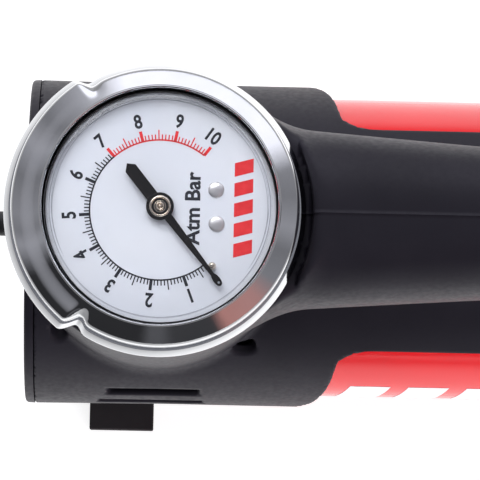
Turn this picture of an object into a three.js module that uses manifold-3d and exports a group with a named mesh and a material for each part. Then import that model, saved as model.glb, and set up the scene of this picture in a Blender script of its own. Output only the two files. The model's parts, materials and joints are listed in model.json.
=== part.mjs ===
// A portable 12 V tyre compressor: a red motor sleeve held between two black housing halves, with a
// carry handle, a pod over the pump cylinder and a pressure gauge on top of the pod.
//
// Units are millimetres. +Z is up from the ground, -X is the front (pump and gauge), +X the rear
// (switch and cord gland). "left" is -Y. Most pieces are placed in the machine's own frame, whose
// x = 0 is the gauge axis and whose z = 0 is the motor axis; one group lifts it into the part's frame.

import * as THREE from 'three';
import { mergeVertices } from 'three/addons/utils/BufferGeometryUtils.js';
import Module from 'manifold-3d';

const wasm = await Module();
wasm.setup();

// ---------------------------------------------------------------- driving dimensions

const AXIS_HEIGHT = 46; // motor axis above the ground
const GAUGE_X = -63; // gauge axis from the middle of the machine's length
const GAP = 0.3; // left between pieces that touch

const SLEEVE = { outer: 33.5, inner: 32.3, front: 25.8, rear: 124 };
const SHELL = { outer: 36, inner: 33.8, front: -26.4, rear: 149 };
const COVER = { face: -28.7, back: -26.7, lip: -24.3 };
const REAR_COVER = { back: 149.3, face: 151.5, lip: 146 };
const WINDOW = { top: 26, bottom: -30, rearMirror: 148 };
const POD = { outer: 29, inner: 26.8, top: 97.2, floor: 20 };
const HANDLE = {
  gripZ: 85.1, halfDepth: 17.1, bendX: 106, bend: 23, low: 22, wall: 2.6,
  narrowX: 85, narrowHalf: 13.86, flare: 0.077,
};
const FOOT = { frontX: -7.3, rearX: 128, length: 15, inner: 22, outer: 41.3, height: 7 };

const CRANK = { radius: 4.5, discX: 8, discRadius: 15.5 };
const ROD = { length: 27, big: 6.2, small: 3.2, half: 3.2 };
const PISTON = { radius: 11, hollow: 9, height: 17, crown: 46.5 };
const CYLINDER = { bore: 11.3, outer: 14, fin: 17.7, base: 19.6, top: 47.2 };
const HEAD = { base: 47.5, top: 57, radius: 17 };
const OUTLET_Z = 52.5; // hose outlet, above the motor axis

const DIAL_Z = 107.15; // face of the gauge's dial
const BEZEL = { rim: 29.3, wing: 31.3, base: 97.5, opening: 23.35, top: 110.9 };
const POINTER_START = -51.2; // degrees from +X, where the pointer rests at zero
const GEAR = { module: 0.4, pinionTeeth: 10, sectorTeeth: 60 };

const MOTOR = { radius: 30, wall: 2, front: 29.2, rear: 105, shaft: 2.5 };
const SWITCH_Z = 10; // rocker switch, above the motor axis
const GLAND_Z = -19;

const HOSE = { radius: 2.6, bend: 22, coilRadius: 28, leave: 6 };
const CHUCK = { length: 40, radius: 7.2, x: -109.4, height: 7.8 };

const BLACK = { color: 0x2a2a2e, roughness: 0.5, metalness: 0 };
const RED = { color: 0xd81020, roughness: 0.25, metalness: 0.2 };
const CHROME = { color: 0xd8dadc, roughness: 0.08, metalness: 1 };
const STEEL = { color: 0xa8aaac, roughness: 0.35, metalness: 1 };
const ALUMINIUM = { color: 0xb8babc, roughness: 0.5, metalness: 1 };
const BRASS = { color: 0xc2a050, roughness: 0.3, metalness: 1 };
const RUBBER = { color: 0x1a1715, roughness: 0.85, metalness: 0 };
const WHITE = { color: 0xe8ecf2, roughness: 0.4, metalness: 0 };
const CLEAR = { color: 0xf4f8fb, roughness: 0.03, metalness: 0 };
const COPPER = { color: 0xb06030, roughness: 0.4, metalness: 1 };
const FERRITE = { color: 0x3a3a3c, roughness: 0.7, metalness: 0.2 };

// ---------------------------------------------------------------- geometry helpers

const X = new THREE.Vector3(1, 0, 0);
const Y = new THREE.Vector3(0, 1, 0);
const Z = new THREE.Vector3(0, 0, 1);
const NEG_Y = new THREE.Vector3(0, -1, 0);
const LATHE_ON_Z = new THREE.Matrix4().makeBasis(X, Z, NEG_Y);
const LATHE_ON_X = new THREE.Matrix4().makeBasis(Z, X, Y);
const EXTRUDE_ON_X = new THREE.Matrix4().makeBasis(Y, Z, X);
const EXTRUDE_ON_Y = new THREE.Matrix4().makeBasis(X, Z, NEG_Y);
const DEG = Math.PI / 180;

// The solid inside a closed geometry, turned to face out if its profile was drawn the other way.
function solid(geometry) {
  const bare = geometry.clone();
  bare.deleteAttribute('normal');
  bare.deleteAttribute('uv');
  const merged = mergeVertices(bare, 1e-3);
  const place = merged.attributes.position;
  const index = Array.from(merged.index.array);
  const triangles = [];
  let volume = 0;
  const [a, b, c] = [new THREE.Vector3(), new THREE.Vector3(), new THREE.Vector3()];
  for (let i = 0; i < index.length; i += 3) {
    const [p, q, r] = index.slice(i, i + 3);
    if (p === q || q === r || r === p) continue;
    triangles.push(p, q, r);
    volume += a.fromBufferAttribute(place, p).dot(
      b.fromBufferAttribute(place, q).cross(c.fromBufferAttribute(place, r)));
  }
  if (volume < 0) triangles.reverse();
  return new wasm.Manifold(new wasm.Mesh({
    numProp: 3,
    vertProperties: new Float32Array(place.array),
    triVerts: new Uint32Array(triangles),
  }));
}

function geometryOf(manifold) {
  const mesh = manifold.getMesh();
  const geometry = new THREE.BufferGeometry();
  geometry.setAttribute('position', new THREE.BufferAttribute(mesh.vertProperties, 3));
  geometry.setIndex(new THREE.BufferAttribute(mesh.triVerts, 1));
  geometry.computeVertexNormals();
  return geometry;
}

function joined(...parts) {
  return parts.reduce((whole, part) => whole.add(part));
}

function cut(whole, ...tools) {
  return tools.reduce((rest, tool) => rest.subtract(tool), whole);
}

// A profile of [radius, height] points turned round the vertical axis, or round +X.
function turned(profile, segments = 20, basis = LATHE_ON_Z) {
  const points = profile.map(([r, h]) => new THREE.Vector2(r, h));
  return solid(new THREE.LatheGeometry(points, segments).applyMatrix4(basis));
}

function turnedOnX(profile, segments = 20) {
  return turned(profile, segments, LATHE_ON_X);
}

// A ring between two radii and two heights; an inner radius of 0 gives a disc.
function ringProfile(inner, outer, low, high) {
  const profile = [[inner, low], [outer, low], [outer, high], [inner, high]];
  return inner > 0 ? [...profile, profile[0]] : profile;
}

function ring(inner, outer, low, high, segments = 20) {
  return turned(ringProfile(inner, outer, low, high), segments);
}

function ringOnX(inner, outer, low, high, segments = 20) {
  return turnedOnX(ringProfile(inner, outer, low, high), segments);
}

function box(x0, x1, y0, y1, z0, z1) {
  const geometry = new THREE.BoxGeometry(x1 - x0, y1 - y0, z1 - z0);
  return solid(geometry.translate((x0 + x1) / 2, (y0 + y1) / 2, (z0 + z1) / 2));
}

// A cylinder whose axis runs along Y, from y0 to y1.
function pinOnY(x, z, radius, y0, y1, segments = 16) {
  const geometry = new THREE.CylinderGeometry(radius, radius, y1 - y0, segments);
  return solid(geometry.translate(x, (y0 + y1) / 2, z));
}

// A shape drawn in (x, z), extruded across the machine from -half to +half.
function plateOnY(shape, half, options = {}) {
  const geometry = new THREE.ExtrudeGeometry(shape, {
    depth: 2 * half, bevelEnabled: false, curveSegments: 6, ...options,
  });
  return solid(geometry.translate(0, 0, -half).applyMatrix4(EXTRUDE_ON_Y));
}

// A shape drawn in (y, z), extruded along the machine from x0 to x1.
function plateOnX(shape, x0, x1, curveSegments = 12) {
  const geometry = new THREE.ExtrudeGeometry(shape, { depth: x1 - x0, bevelEnabled: false, curveSegments });
  return solid(geometry.translate(0, 0, x0).applyMatrix4(EXTRUDE_ON_X));
}

// A shape drawn in (x, y), extruded upward from z0 to z1.
function plateOnZ(shape, z0, z1, curveSegments = 12) {
  const geometry = new THREE.ExtrudeGeometry(shape, { depth: z1 - z0, bevelEnabled: false, curveSegments });
  return solid(geometry.translate(0, 0, z0));
}

function polygon(points) {
  return new THREE.Shape(points.map(([u, v]) => new THREE.Vector2(u, v)));
}

function circle(x, y, radius) {
  return new THREE.Path().absarc(x, y, radius, 0, 2 * Math.PI, true);
}

function add(group, name, manifold, look) {
  const mesh = new THREE.Mesh(geometryOf(manifold), new THREE.MeshStandardMaterial(look));
  mesh.name = name;
  group.add(mesh);
  return mesh;
}

// ---------------------------------------------------------------- housing

// Half the handle's width: narrowest in the middle of the grip, wider towards both roots.
function handleHalfWidth(x) {
  return HANDLE.narrowHalf + HANDLE.flare * Math.hypot(x - HANDLE.narrowX, 12);
}

// The handle's centreline: level from the pod along the grip, then round the rear bend and down.
function handleStations() {
  const { gripZ, bendX, bend, low } = HANDLE;
  const stations = [8, 30, 48, 66, 86].map((x) => ({ x, z: gripZ, tilt: 0 }));
  for (let i = 0; i <= 5; i += 1) {
    const tilt = (i / 5) * (Math.PI / 2);
    stations.push({ x: bendX + bend * Math.sin(tilt), z: gripZ - bend + bend * Math.cos(tilt), tilt });
  }
  for (const z of [44, low]) stations.push({ x: bendX + bend, z, tilt: Math.PI / 2 });
  return stations;
}

// The handle, lofted through squarish oval sections; `inset` shrinks it all round.
function handleSolid(inset) {
  const sides = 16;
  const squared = (value) => Math.sign(value) * Math.abs(value) ** 0.8;
  const stations = handleStations();
  const points = [];
  const index = [];
  for (const { x, z, tilt } of stations) {
    for (let side = 0; side < sides; side += 1) {
      const angle = (2 * Math.PI * side) / sides;
      const across = (handleHalfWidth(x) - inset) * squared(Math.cos(angle));
      const out = (HANDLE.halfDepth - inset) * squared(Math.sin(angle));
      points.push(x + out * Math.sin(tilt), across, z + out * Math.cos(tilt));
    }
  }
  const last = (stations.length - 1) * sides;
  for (let side = 0; side < sides; side += 1) {
    const next = (side + 1) % sides;
    for (let row = 0; row < last; row += sides) {
      index.push(row + side, row + next, row + sides + side);
      index.push(row + next, row + sides + next, row + sides + side);
    }
    if (side > 0 && next > 0) index.push(0, next, side, last, last + side, last + next);
  }
  const geometry = new THREE.BufferGeometry();
  geometry.setAttribute('position', new THREE.Float32BufferAttribute(points, 3));
  geometry.setIndex(index);
  return solid(geometry);
}

// One side window, which shows the red sleeve between the black front and rear of the housing.
function windowOutline() {
  const flip = (x) => WINDOW.rearMirror - x;
  const { top, bottom } = WINDOW;
  const shape = new THREE.Shape();
  shape.moveTo(48, top);
  shape.quadraticCurveTo(41, top, 39.7, 22.7);
  shape.quadraticCurveTo(38, 12, 34.1, 3.2);
  shape.quadraticCurveTo(31.5, -4, 31.5, -14);
  shape.lineTo(31.5, bottom + 5);
  shape.quadraticCurveTo(31.5, bottom, 36.5, bottom);
  shape.lineTo(flip(36.5), bottom);
  shape.quadraticCurveTo(flip(31.5), bottom, flip(31.5), bottom + 5);
  shape.lineTo(flip(31.5), -14);
  shape.quadraticCurveTo(flip(31.5), -4, flip(34.1), 3.2);
  shape.quadraticCurveTo(flip(38), 12, flip(39.7), 22.7);
  shape.quadraticCurveTo(flip(41), top, flip(48), top);
  shape.closePath();
  return shape;
}

// Ventilation slots that climb the flank beside the pump, as [first x, last x, degrees from the top].
const FLANK_SLOTS = [
  [-10.6, 10.1, 70], [-12.5, 11, 82], [-12.5, 11, 94], [-12.5, 11, 106],
];

function flankSlot([x0, x1, angle], side) {
  const slot = new THREE.BoxGeometry(x1 - x0, 8, 3.2);
  slot.translate((x0 + x1) / 2, SHELL.outer, 0);
  slot.rotateX((90 - angle) * DEG);
  if (side < 0) slot.scale(1, -1, 1);
  return solid(slot);
}

// Screw wells of the housing: the screws clamp the right half to the left one.
const SCREWS = [
  { name: 'housing_screw_pod', x: 19.3, z: 26.4, well: 24 },
  { name: 'housing_screw_nose', x: -21, z: 29.2, well: 17 },
  { name: 'housing_screw_grip', x: 74, z: 85, well: 13.8 },
  { name: 'housing_screw_rear', x: 130, z: 54, well: 16.6 },
];
const SCREW = { head: 1.5, well: 1.75, shank: 0.8, grip: 4, reach: 9, hole: 1.1, boss: 2.9 };

function housingSolid() {
  let shell = joined(
    ringOnX(0, SHELL.outer, SHELL.front, SHELL.rear, 36),
    ring(0, POD.outer, POD.floor, POD.top, 40),
    handleSolid(0),
  );
  for (const x of [FOOT.frontX, FOOT.rearX]) {
    for (const side of [-1, 1]) {
      const [y0, y1] = [side * 24, side * 36].sort((p, q) => p - q);
      shell = shell.add(box(x - 6, x + 6, y0, y1, -AXIS_HEIGHT + FOOT.height + GAP, -12));
    }
  }
  const windowTool = plateOnY(windowOutline(), 60).subtract(box(-100, 200, -15, 15, -60, 60));
  shell = cut(
    shell,
    ringOnX(0, SHELL.inner, SHELL.front - 10, SHELL.rear + 10, 36),
    ring(0, POD.inner, POD.floor, POD.top + 20, 40),
    ring(0, BEZEL.rim + 0.5, POD.top, POD.top + 30, 40),
    cut(handleSolid(HANDLE.wall), box(12, 29.4, -40, 40, 0, 120)),
    ringOnX(0, SHELL.outer + 0.6, COVER.face - 10, SHELL.front, 36),
    windowTool,
  );
  for (const slot of FLANK_SLOTS) {
    shell = cut(shell, flankSlot(slot, 1), flankSlot(slot, -1));
  }
  for (const { x, z, well } of SCREWS) {
    shell = shell.add(pinOnY(x, z, SCREW.boss, -well + 1, well - 1, 12));
  }
  for (const { x, z } of SCREWS) {
    shell = cut(
      shell,
      pinOnY(x, z, SCREW.hole, -SCREW.grip - 1, SCREW.reach + 1, 12),
      pinOnY(x, z, SCREW.well, -50, -SCREW.grip, 12),
    );
  }
  const outlet = ringOnX(0, GROMMET.neck + GAP, -32, -20, 20);
  return cut(shell, outlet.translate([0, 0, OUTLET_Z]));
}

const GROMMET = { neck: 4.6, flange: 6.2 };

function addHousing(machine) {
  const shell = housingSolid();
  add(machine, 'housing_left', shell.intersect(box(-200, 200, -90, -GAP / 2, -90, 150)), BLACK);
  add(machine, 'housing_right', shell.intersect(box(-200, 200, GAP / 2, 90, -90, 150)), BLACK);

  for (const { name, x, z } of SCREWS) {
    const screw = joined(
      pinOnY(x, z, SCREW.shank, -SCREW.grip - 1, SCREW.reach, 12),
      pinOnY(x, z, SCREW.head, -SCREW.grip - 2.2, -SCREW.grip - GAP, 12),
    );
    add(machine, name, screw, STEEL);
  }

  const cover = turnedOnX([
    [0, COVER.face], [SHELL.outer - 1.8, COVER.face], [SHELL.outer - 0.4, COVER.face + 0.6],
    [SHELL.outer + 0.2, COVER.face + 1.6], [SHELL.outer + 0.2, COVER.back],
    [SHELL.inner - GAP, COVER.back], [SHELL.inner - GAP, COVER.lip], [31.4, COVER.lip],
    [31.4, COVER.back + 0.4], [0, COVER.back + 0.4],
  ], 36);
  add(machine, 'front_cover', cover, BLACK);
}

// The rear cover: cooling slots above and below, the switch opening, and the gland's hole.
function addRearCover(machine) {
  let cover = turnedOnX([
    [0, REAR_COVER.back], [31.4, REAR_COVER.back], [31.4, REAR_COVER.lip],
    [SHELL.inner - GAP, REAR_COVER.lip], [SHELL.inner - GAP, REAR_COVER.back],
    [SHELL.outer, REAR_COVER.back], [SHELL.outer, REAR_COVER.back + 0.8],
    [SHELL.outer - 1.6, REAR_COVER.face], [0, REAR_COVER.face],
  ], 36);
  for (const side of [-1, 1]) {
    for (let row = 0; row < 5; row += 1) {
      const z = -14 + row * 7;
      const reach = Math.sqrt(28 * 28 - z * z);
      const [y0, y1] = [side * 12, side * reach].sort((p, q) => p - q);
      cover = cover.subtract(box(REAR_COVER.back - 2, REAR_COVER.face + 2, y0, y1, z - 1.5, z + 1.5));
    }
  }
  cover = cut(
    cover,
    box(140, 160, -6.6, 6.6, SWITCH_Z - 9.6, SWITCH_Z + 9.6),
    ringOnX(0, 4.3, 140, 160, 20).translate([0, 0, GLAND_Z]),
  );
  add(machine, 'rear_cover', cover, BLACK);

  const gland = turnedOnX([
    [2.6, 147], [4, 147], [4, 151.8], [6.4, 151.8], [6.2, 153], [4.6, 157.3], [2.6, 157.3], [2.6, 147],
  ], 20);
  add(machine, 'cord_gland', gland.translate([0, 0, GLAND_Z]), RUBBER);
}

function addFeet(machine) {
  const bottom = -AXIS_HEIGHT;
  for (const [end, x] of [['front', FOOT.frontX], ['rear', FOOT.rearX]]) {
    for (const [name, side] of [['left', -1], ['right', 1]]) {
      const [y0, y1] = [side * FOOT.inner, side * FOOT.outer].sort((p, q) => p - q);
      const half = FOOT.length / 2;
      const foot = box(x - half, x + half, y0, y1, bottom, bottom + FOOT.height);
      add(machine, `foot_${end}_${name}`, foot, RUBBER);
    }
  }
}

// ---------------------------------------------------------------- pump

// The die-cast bracket: a plate that carries the motor, and a shelf under the cylinder.
function addCrankcase(machine) {
  const shelf = 16.3;
  const bracket = cut(
    joined(
      ringOnX(0, 31, 22.5, 25.5, 40),
      box(-17, 23, -19, 19, shelf, 19.3),
      box(14, 23, -19.6, -17.2, -8, 19.3),
      box(14, 23, 17.2, 19.6, -8, 19.3),
    ),
    ringOnX(0, 8, 20, 28, 24),
    ring(0, 11.6, shelf - 5, 25),
  );
  add(machine, 'crankcase', bracket, ALUMINIUM);
}

function addCylinder(machine) {
  const { bore, outer, fin, base, top } = CYLINDER;
  const profile = [[bore, base], [16, base], [16, base + 2.6], [outer, base + 2.6]];
  for (let z = base + 10.4; z < top - 4; z += 5.2) {
    profile.push([outer, z], [fin, z], [fin, z + 1.3], [outer, z + 1.3]);
  }
  profile.push([outer, top - 2.4], [17, top - 2.4], [17, top], [bore, top], [bore, base]);
  add(machine, 'cylinder', turned(profile, 24), ALUMINIUM);

  const outlet = ringOnX(0, 1.8, -HEAD.radius - 5, 0, 12).translate([0, 0, OUTLET_Z]);
  const head = cut(
    ring(0, HEAD.radius, HEAD.base, HEAD.top),
    ring(0, 2.2, HEAD.base - 1, HEAD.top, 16),
    ring(0, 4.6, HEAD.base + 2.5, HEAD.top + 1, 20),
    outlet,
  );
  add(machine, 'cylinder_head', head, ALUMINIUM);
  add(machine, 'outlet_valve', ring(0, 3.9, 50.3, 51.4, 20), STEEL);
  add(machine, 'outlet_spring', ring(2.6, 3.4, 51.7, 57, 16), STEEL);

  const fitting = cut(
    joined(
      ringOnX(0, 5, -HEAD.radius - 4.5, -HEAD.radius - GAP, 6),
      ringOnX(0, 2.9, -30.9, -HEAD.radius - 4, 16),
    ),
    ringOnX(0, 1.3, -32, -10, 12),
  );
  add(machine, 'hose_fitting', fitting.translate([0, 0, OUTLET_Z]), BRASS);
  const grommet = turnedOnX([
    [3.2, -25], [GROMMET.flange, -25], [GROMMET.flange, -26.3], [GROMMET.neck, -26.3],
    [GROMMET.neck, -29.3], [GROMMET.flange, -29.3], [GROMMET.flange - 0.6, -30.9], [3.2, -30.9], [3.2, -25],
  ], 20);
  add(machine, 'hose_grommet', cut(grommet.translate([0, 0, OUTLET_Z]), podWallRelief()), RUBBER);
}

// The curved pod wall, which the grommet's flanges must clear on both faces.
function podWallRelief() {
  const wall = ring(POD.inner - GAP, POD.outer + GAP, 30, 80, 40);
  const neck = ringOnX(0, GROMMET.neck, -40, 0, 20).translate([0, 0, OUTLET_Z]);
  return wall.subtract(neck);
}

function addPiston(machine) {
  const { radius, hollow, height, crown } = PISTON;
  const piston = turned([
    [0, crown], [radius, crown], [radius, crown - 2.2], [10.3, crown - 2.2], [10.3, crown - 4.2],
    [radius, crown - 4.2], [radius, crown - height], [hollow, crown - height], [hollow, crown - 2.7],
    [0, crown - 2.7],
  ], 24);
  add(machine, 'piston', piston, ALUMINIUM);
  add(machine, 'piston_ring', ring(10.55, 11.15, crown - 3.9, crown - 2.5, 24), RUBBER);
}

function addRod(machine) {
  const outline = new THREE.Shape();
  const shank = 2.4;
  const bigEdge = Math.asin(shank / ROD.big);
  const smallEdge = Math.asin(shank / ROD.small);
  outline.absarc(0, 0, ROD.big, Math.PI / 2 + bigEdge, Math.PI / 2 - bigEdge + 2 * Math.PI, false);
  outline.absarc(0, ROD.length, ROD.small, -Math.PI / 2 + smallEdge, 1.5 * Math.PI - smallEdge, false);
  outline.holes.push(circle(0, 0, 2.5), circle(0, ROD.length, 1.85));
  const rod = plateOnX(outline, -ROD.half, ROD.half, 8);
  add(machine, 'connecting_rod', rod.translate([0, 0, CRANK.radius]), ALUMINIUM);
  const pin = ringOnX(0, 1.55, -5.5, 5.5, 14).translate([0, 0, CRANK.radius + ROD.length]);
  add(machine, 'wrist_pin', pin, STEEL);
}

// The crank disc: a round hub with a heavy lower half that balances the piston.
function addCrank(machine) {
  const outline = new THREE.Shape();
  outline.absarc(0, 0, 8.5, -10 * DEG, 190 * DEG, false);
  outline.absarc(0, 0, CRANK.discRadius, 190 * DEG, 350 * DEG, false);
  outline.holes.push(circle(0, 0, MOTOR.shaft + GAP));
  add(machine, 'crank_disc', plateOnX(outline, CRANK.discX, CRANK.discX + 5.5, 8), STEEL);
  const pin = ringOnX(0, 2.2, -4.6, CRANK.discX - GAP, 16).translate([0, 0, CRANK.radius]);
  add(machine, 'crank_pin', pin, STEEL);
}

// ---------------------------------------------------------------- motor

function addMotor(machine) {
  const { radius, wall, front, rear, shaft } = MOTOR;
  add(machine, 'motor_can', ringOnX(radius - wall, radius, front, rear, 36), STEEL);
  add(machine, 'motor_front_bell', ringOnX(7.8, radius, 25.9, front - GAP, 36), STEEL);
  add(machine, 'motor_rear_bell', ringOnX(7.8, radius, rear + GAP, rear + 3.3, 36), STEEL);
  add(machine, 'front_bearing', ringOnX(shaft + GAP, 7.5, 25.9, front - GAP, 20), STEEL);
  add(machine, 'rear_bearing', ringOnX(shaft + GAP, 7.5, rear + GAP, rear + 3.3, 20), STEEL);
  add(machine, 'motor_shaft', ringOnX(0, shaft, CRANK.discX, 128, 16), STEEL);

  for (const [name, middle] of [['magnet_upper', 90], ['magnet_lower', 270]]) {
    const arc = new THREE.Shape();
    arc.absarc(0, 0, 27.7, (middle - 65) * DEG, (middle + 65) * DEG, false);
    arc.absarc(0, 0, 22, (middle + 65) * DEG, (middle - 65) * DEG, true);
    arc.closePath();
    add(machine, name, plateOnX(arc, 36, 86, 8), FERRITE);
  }
  add(machine, 'armature', plateOnX(slottedDisc(10, 21, 9, 3.6), 40, 84, 12), COPPER);
  add(machine, 'commutator', ringOnX(shaft + GAP, 8.5, 86.5, 98, 20), COPPER);
  for (const [name, side] of [['brush_left', -1], ['brush_right', 1]]) {
    const [y0, y1] = [side * 8.9, side * 20].sort((p, q) => p - q);
    add(machine, name, box(89, 95, y0, y1, -2.5, 2.5), FERRITE);
  }
  add(machine, 'cooling_fan', plateOnX(slottedDisc(7, 27, 8, 14), 113, 121, 12), BLACK);
}

// A disc with slots from its rim, bored for the shaft: a stack of laminations, or a flat fan.
function slottedDisc(slots, outer, root, slotWidth) {
  const outline = new THREE.Shape();
  const pitch = (2 * Math.PI) / slots;
  const rim = pitch / 2 - Math.asin(slotWidth / 2 / outer);
  const floor = pitch / 2 - Math.asin(Math.min(slotWidth / 2 / root, Math.sin(pitch * 0.4)));
  for (let i = 0; i < slots; i += 1) {
    const middle = i * pitch;
    for (const [r, angle] of [[root, -floor], [outer, -rim], [outer, 0], [outer, rim], [root, floor]]) {
      const [u, v] = [r * Math.cos(middle + angle), r * Math.sin(middle + angle)];
      if (i === 0 && outline.curves.length === 0 && angle === -floor) outline.moveTo(u, v);
      else outline.lineTo(u, v);
    }
  }
  outline.closePath();
  outline.holes.push(circle(0, 0, MOTOR.shaft + GAP));
  return outline;
}

// ---------------------------------------------------------------- gauge

function addGaugeCase(machine) {
  const stem = cut(
    joined(
      ring(0, 8, HEAD.top + GAP, HEAD.top + 5.8, 6),
      ring(0, 4, HEAD.top + 5, 84, 16),
      ring(0, 7, 85.8, 90, 16),
      ring(0, 3.6, 83, 86, 16),
    ),
    ring(0, 1, HEAD.top, 95, 10),
  );
  add(machine, 'gauge_stem', stem, BRASS);

  const gaugeCase = turned([
    [4.3, 84.2], [25, 84.2], [25, 106], [23.8, 106], [23.8, 85.4], [4.3, 85.4], [4.3, 84.2],
  ], 24);
  add(machine, 'gauge_case', gaugeCase, STEEL);

  const tube = new THREE.Shape();
  tube.absarc(0, 0, 20, -150 * DEG, 110 * DEG, false);
  tube.absarc(0, 0, 17.6, 110 * DEG, -150 * DEG, true);
  tube.closePath();
  add(machine, 'bourdon_tube', plateOnZ(tube, 90.5, 96, 10), BRASS);
}

// An involute-like tooth row: four points a tooth, thin enough to turn with backlash.
function toothPoints(pitchRadius, teeth, first, count) {
  const { module } = GEAR;
  const step = (2 * Math.PI) / teeth;
  const points = [];
  for (let i = 0; i < count; i += 1) {
    const middle = first + i * step;
    const half = 0.19 * step;
    for (const [r, angle] of [
      [pitchRadius - 1.15 * module, -1.5 * half], [pitchRadius + 0.75 * module, -0.55 * half],
      [pitchRadius + 0.75 * module, 0.55 * half], [pitchRadius - 1.15 * module, 1.5 * half],
    ]) {
      points.push([r * Math.cos(middle + angle), r * Math.sin(middle + angle)]);
    }
  }
  return points;
}

// The movement under the dial: a toothed sector drives the pinion on the pointer's arbor.
function addMovement(machine) {
  const { module, pinionTeeth, sectorTeeth } = GEAR;
  const pinionRadius = (module * pinionTeeth) / 2;
  const sectorRadius = (module * sectorTeeth) / 2;
  const pivot = pinionRadius + sectorRadius;

  const plate = new THREE.Shape();
  plate.absarc(0, 0, 4, -Math.PI / 2, Math.PI / 2, false);
  plate.absarc(-pivot, 0, 4, Math.PI / 2, 1.5 * Math.PI, false);
  plate.holes.push(circle(0, 0, 1.1));
  const post = ring(0, 1.6, 90.3, 98, 10).translate([-5, 0, 0]);
  const pivotPin = ring(0, 0.8, 98, 102, 10).translate([-pivot, 0, 0]);
  add(machine, 'movement_plate', joined(plateOnZ(plate, 97.6, 98.6, 8), post, pivotPin), BRASS);

  // The sector is drawn at its rest angle, half its travel short of the middle.
  const travel = 260 / (sectorTeeth / pinionTeeth);
  const step = 360 / sectorTeeth;
  const count = 9;
  const start = -(travel / 2 + ((count - 1) / 2) * step) * DEG;
  const hub = [];
  for (let angle = 90; angle <= 270; angle += 45) {
    hub.push([2.4 * Math.cos(angle * DEG), 2.4 * Math.sin(angle * DEG)]);
  }
  const turn = (-travel / 2) * DEG;
  const turnedHub = hub.map(([u, v]) => [
    u * Math.cos(turn) - v * Math.sin(turn), u * Math.sin(turn) + v * Math.cos(turn)]);
  const sector = polygon([...toothPoints(sectorRadius, sectorTeeth, start, count), ...turnedHub]);
  sector.holes.push(circle(0, 0, 1.1));
  add(machine, 'sector_gear', plateOnZ(sector, 99.2, 100.4, 8).translate([-pivot, 0, 0]), BRASS);

  const mesh = Math.PI - (sectorTeeth / pinionTeeth) * start + Math.PI / pinionTeeth;
  const pinion = polygon(toothPoints(pinionRadius, pinionTeeth, mesh, pinionTeeth));
  const arbor = joined(
    ring(0, 0.75, 96.6, 109, 12),
    plateOnZ(pinion, 99, 100.6),
    ring(0, 2.2, 108.95, 109.4, 16),
  );
  add(machine, 'pointer_arbor', arbor, BRASS);
}

function addDial(machine) {
  const plate = cut(
    ring(0, 23, DIAL_Z - 0.7, DIAL_Z, 36),
    ring(0, 1.2, DIAL_Z - 2, DIAL_Z + 2, 12),
  );
  add(machine, 'dial_plate', plate, WHITE);

  const tail = 10.7;
  const edge = [[19.8, 0.3], [19.2, 0.65], [17.6, 0.65], [16.9, 0.38], [2, 0.9], [-1, 1.25], [-tail + 1.2, 1.25]];
  const mirrored = edge.map(([x, y]) => [x, -y]).reverse();
  const needle = polygon([...edge, [-tail, 0], ...mirrored]);
  let pointer = joined(plateOnZ(needle, 108.1, 108.6), ring(0, 2.75, 107.95, 108.8, 16));
  pointer = pointer.subtract(ring(0, 0.95, 100, 112, 12));
  add(machine, 'pointer', pointer.rotate([0, 0, POINTER_START]), BLACK);
  add(machine, 'stop_pin', ring(0, 0.5, DIAL_Z + GAP, 109, 10).translate([10.5, -11.5, 0]), BRASS);
}

function addBezel(machine) {
  const { rim, wing, base, opening, top } = BEZEL;
  const crown = turned([
    [26.3, base], [rim, base], [rim, 100.3], [28.2, 101], [27.7, 101.4], [26.8, 105.6], [25.4, 109],
    [24.2, 110.6], [opening + 0.4, top], [opening, top - 0.3], [opening, 106.4], [25.3, 106.4],
    [25.8, 101], [26.3, base],
  ], 32);
  const wingShape = new THREE.Shape();
  wingShape.absarc(0, 0, wing, 128 * DEG, 232 * DEG, false);
  wingShape.absarc(0, 0, 28, 232 * DEG, 128 * DEG, true);
  wingShape.closePath();
  add(machine, 'gauge_bezel', crown.add(plateOnZ(wingShape, base, 100.2, 12)), CHROME);
  add(machine, 'lens_gasket', ring(22.1, 23.05, DIAL_Z + GAP, 110.2, 32), RUBBER);
  add(machine, 'gauge_lens', ring(0, 21.8, 109.7, 110.5, 32), CLEAR);
}

// ---------------------------------------------------------------- rocker switch

function addSwitch(machine) {
  const body = cut(
    joined(
      box(134, 152.5, -6.3, 6.3, SWITCH_Z - 9.3, SWITCH_Z + 9.3),
      box(151.8, 153.6, -7.8, 7.8, SWITCH_Z - 10.8, SWITCH_Z + 10.8),
    ),
    box(145, 160, -5.2, 5.2, SWITCH_Z - 8.3, SWITCH_Z + 8.3),
  );
  add(machine, 'switch_body', body, BLACK);

  const rocker = polygon([[-1.6, -6.6], [-1.6, 6.6], [4.6, 7.2], [5.2, 6.6], [3.6, 0], [5.2, -6.6], [4.6, -7.2]]);
  const lever = plateOnY(rocker, 4.8).rotate([0, 7, 0]);
  add(machine, 'switch_rocker', lever.translate([149.5, 0, SWITCH_Z]), RED);
}

// ---------------------------------------------------------------- hose and chuck (part's frame)

const OUTLET = new THREE.Vector3(GAUGE_X - 31.2, 0, AXIS_HEIGHT + OUTLET_Z);
const COIL = { inner: HOSE.coilRadius - 2 * HOSE.radius - 0.4, outer: HOSE.coilRadius + 2 * HOSE.radius + 0.4 };

// The hose reaches the ground just clear of the coil, and its first turn is tangent to it there.
function coilCentre() {
  const landing = OUTLET.x - HOSE.leave - 2 * HOSE.bend;
  const turn = HOSE.coilRadius + HOSE.radius;
  const clear = Math.sqrt(COIL.outer ** 2 - HOSE.coilRadius ** 2) + GAP;
  return new THREE.Vector3(landing - clear, -turn, 0);
}

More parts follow.
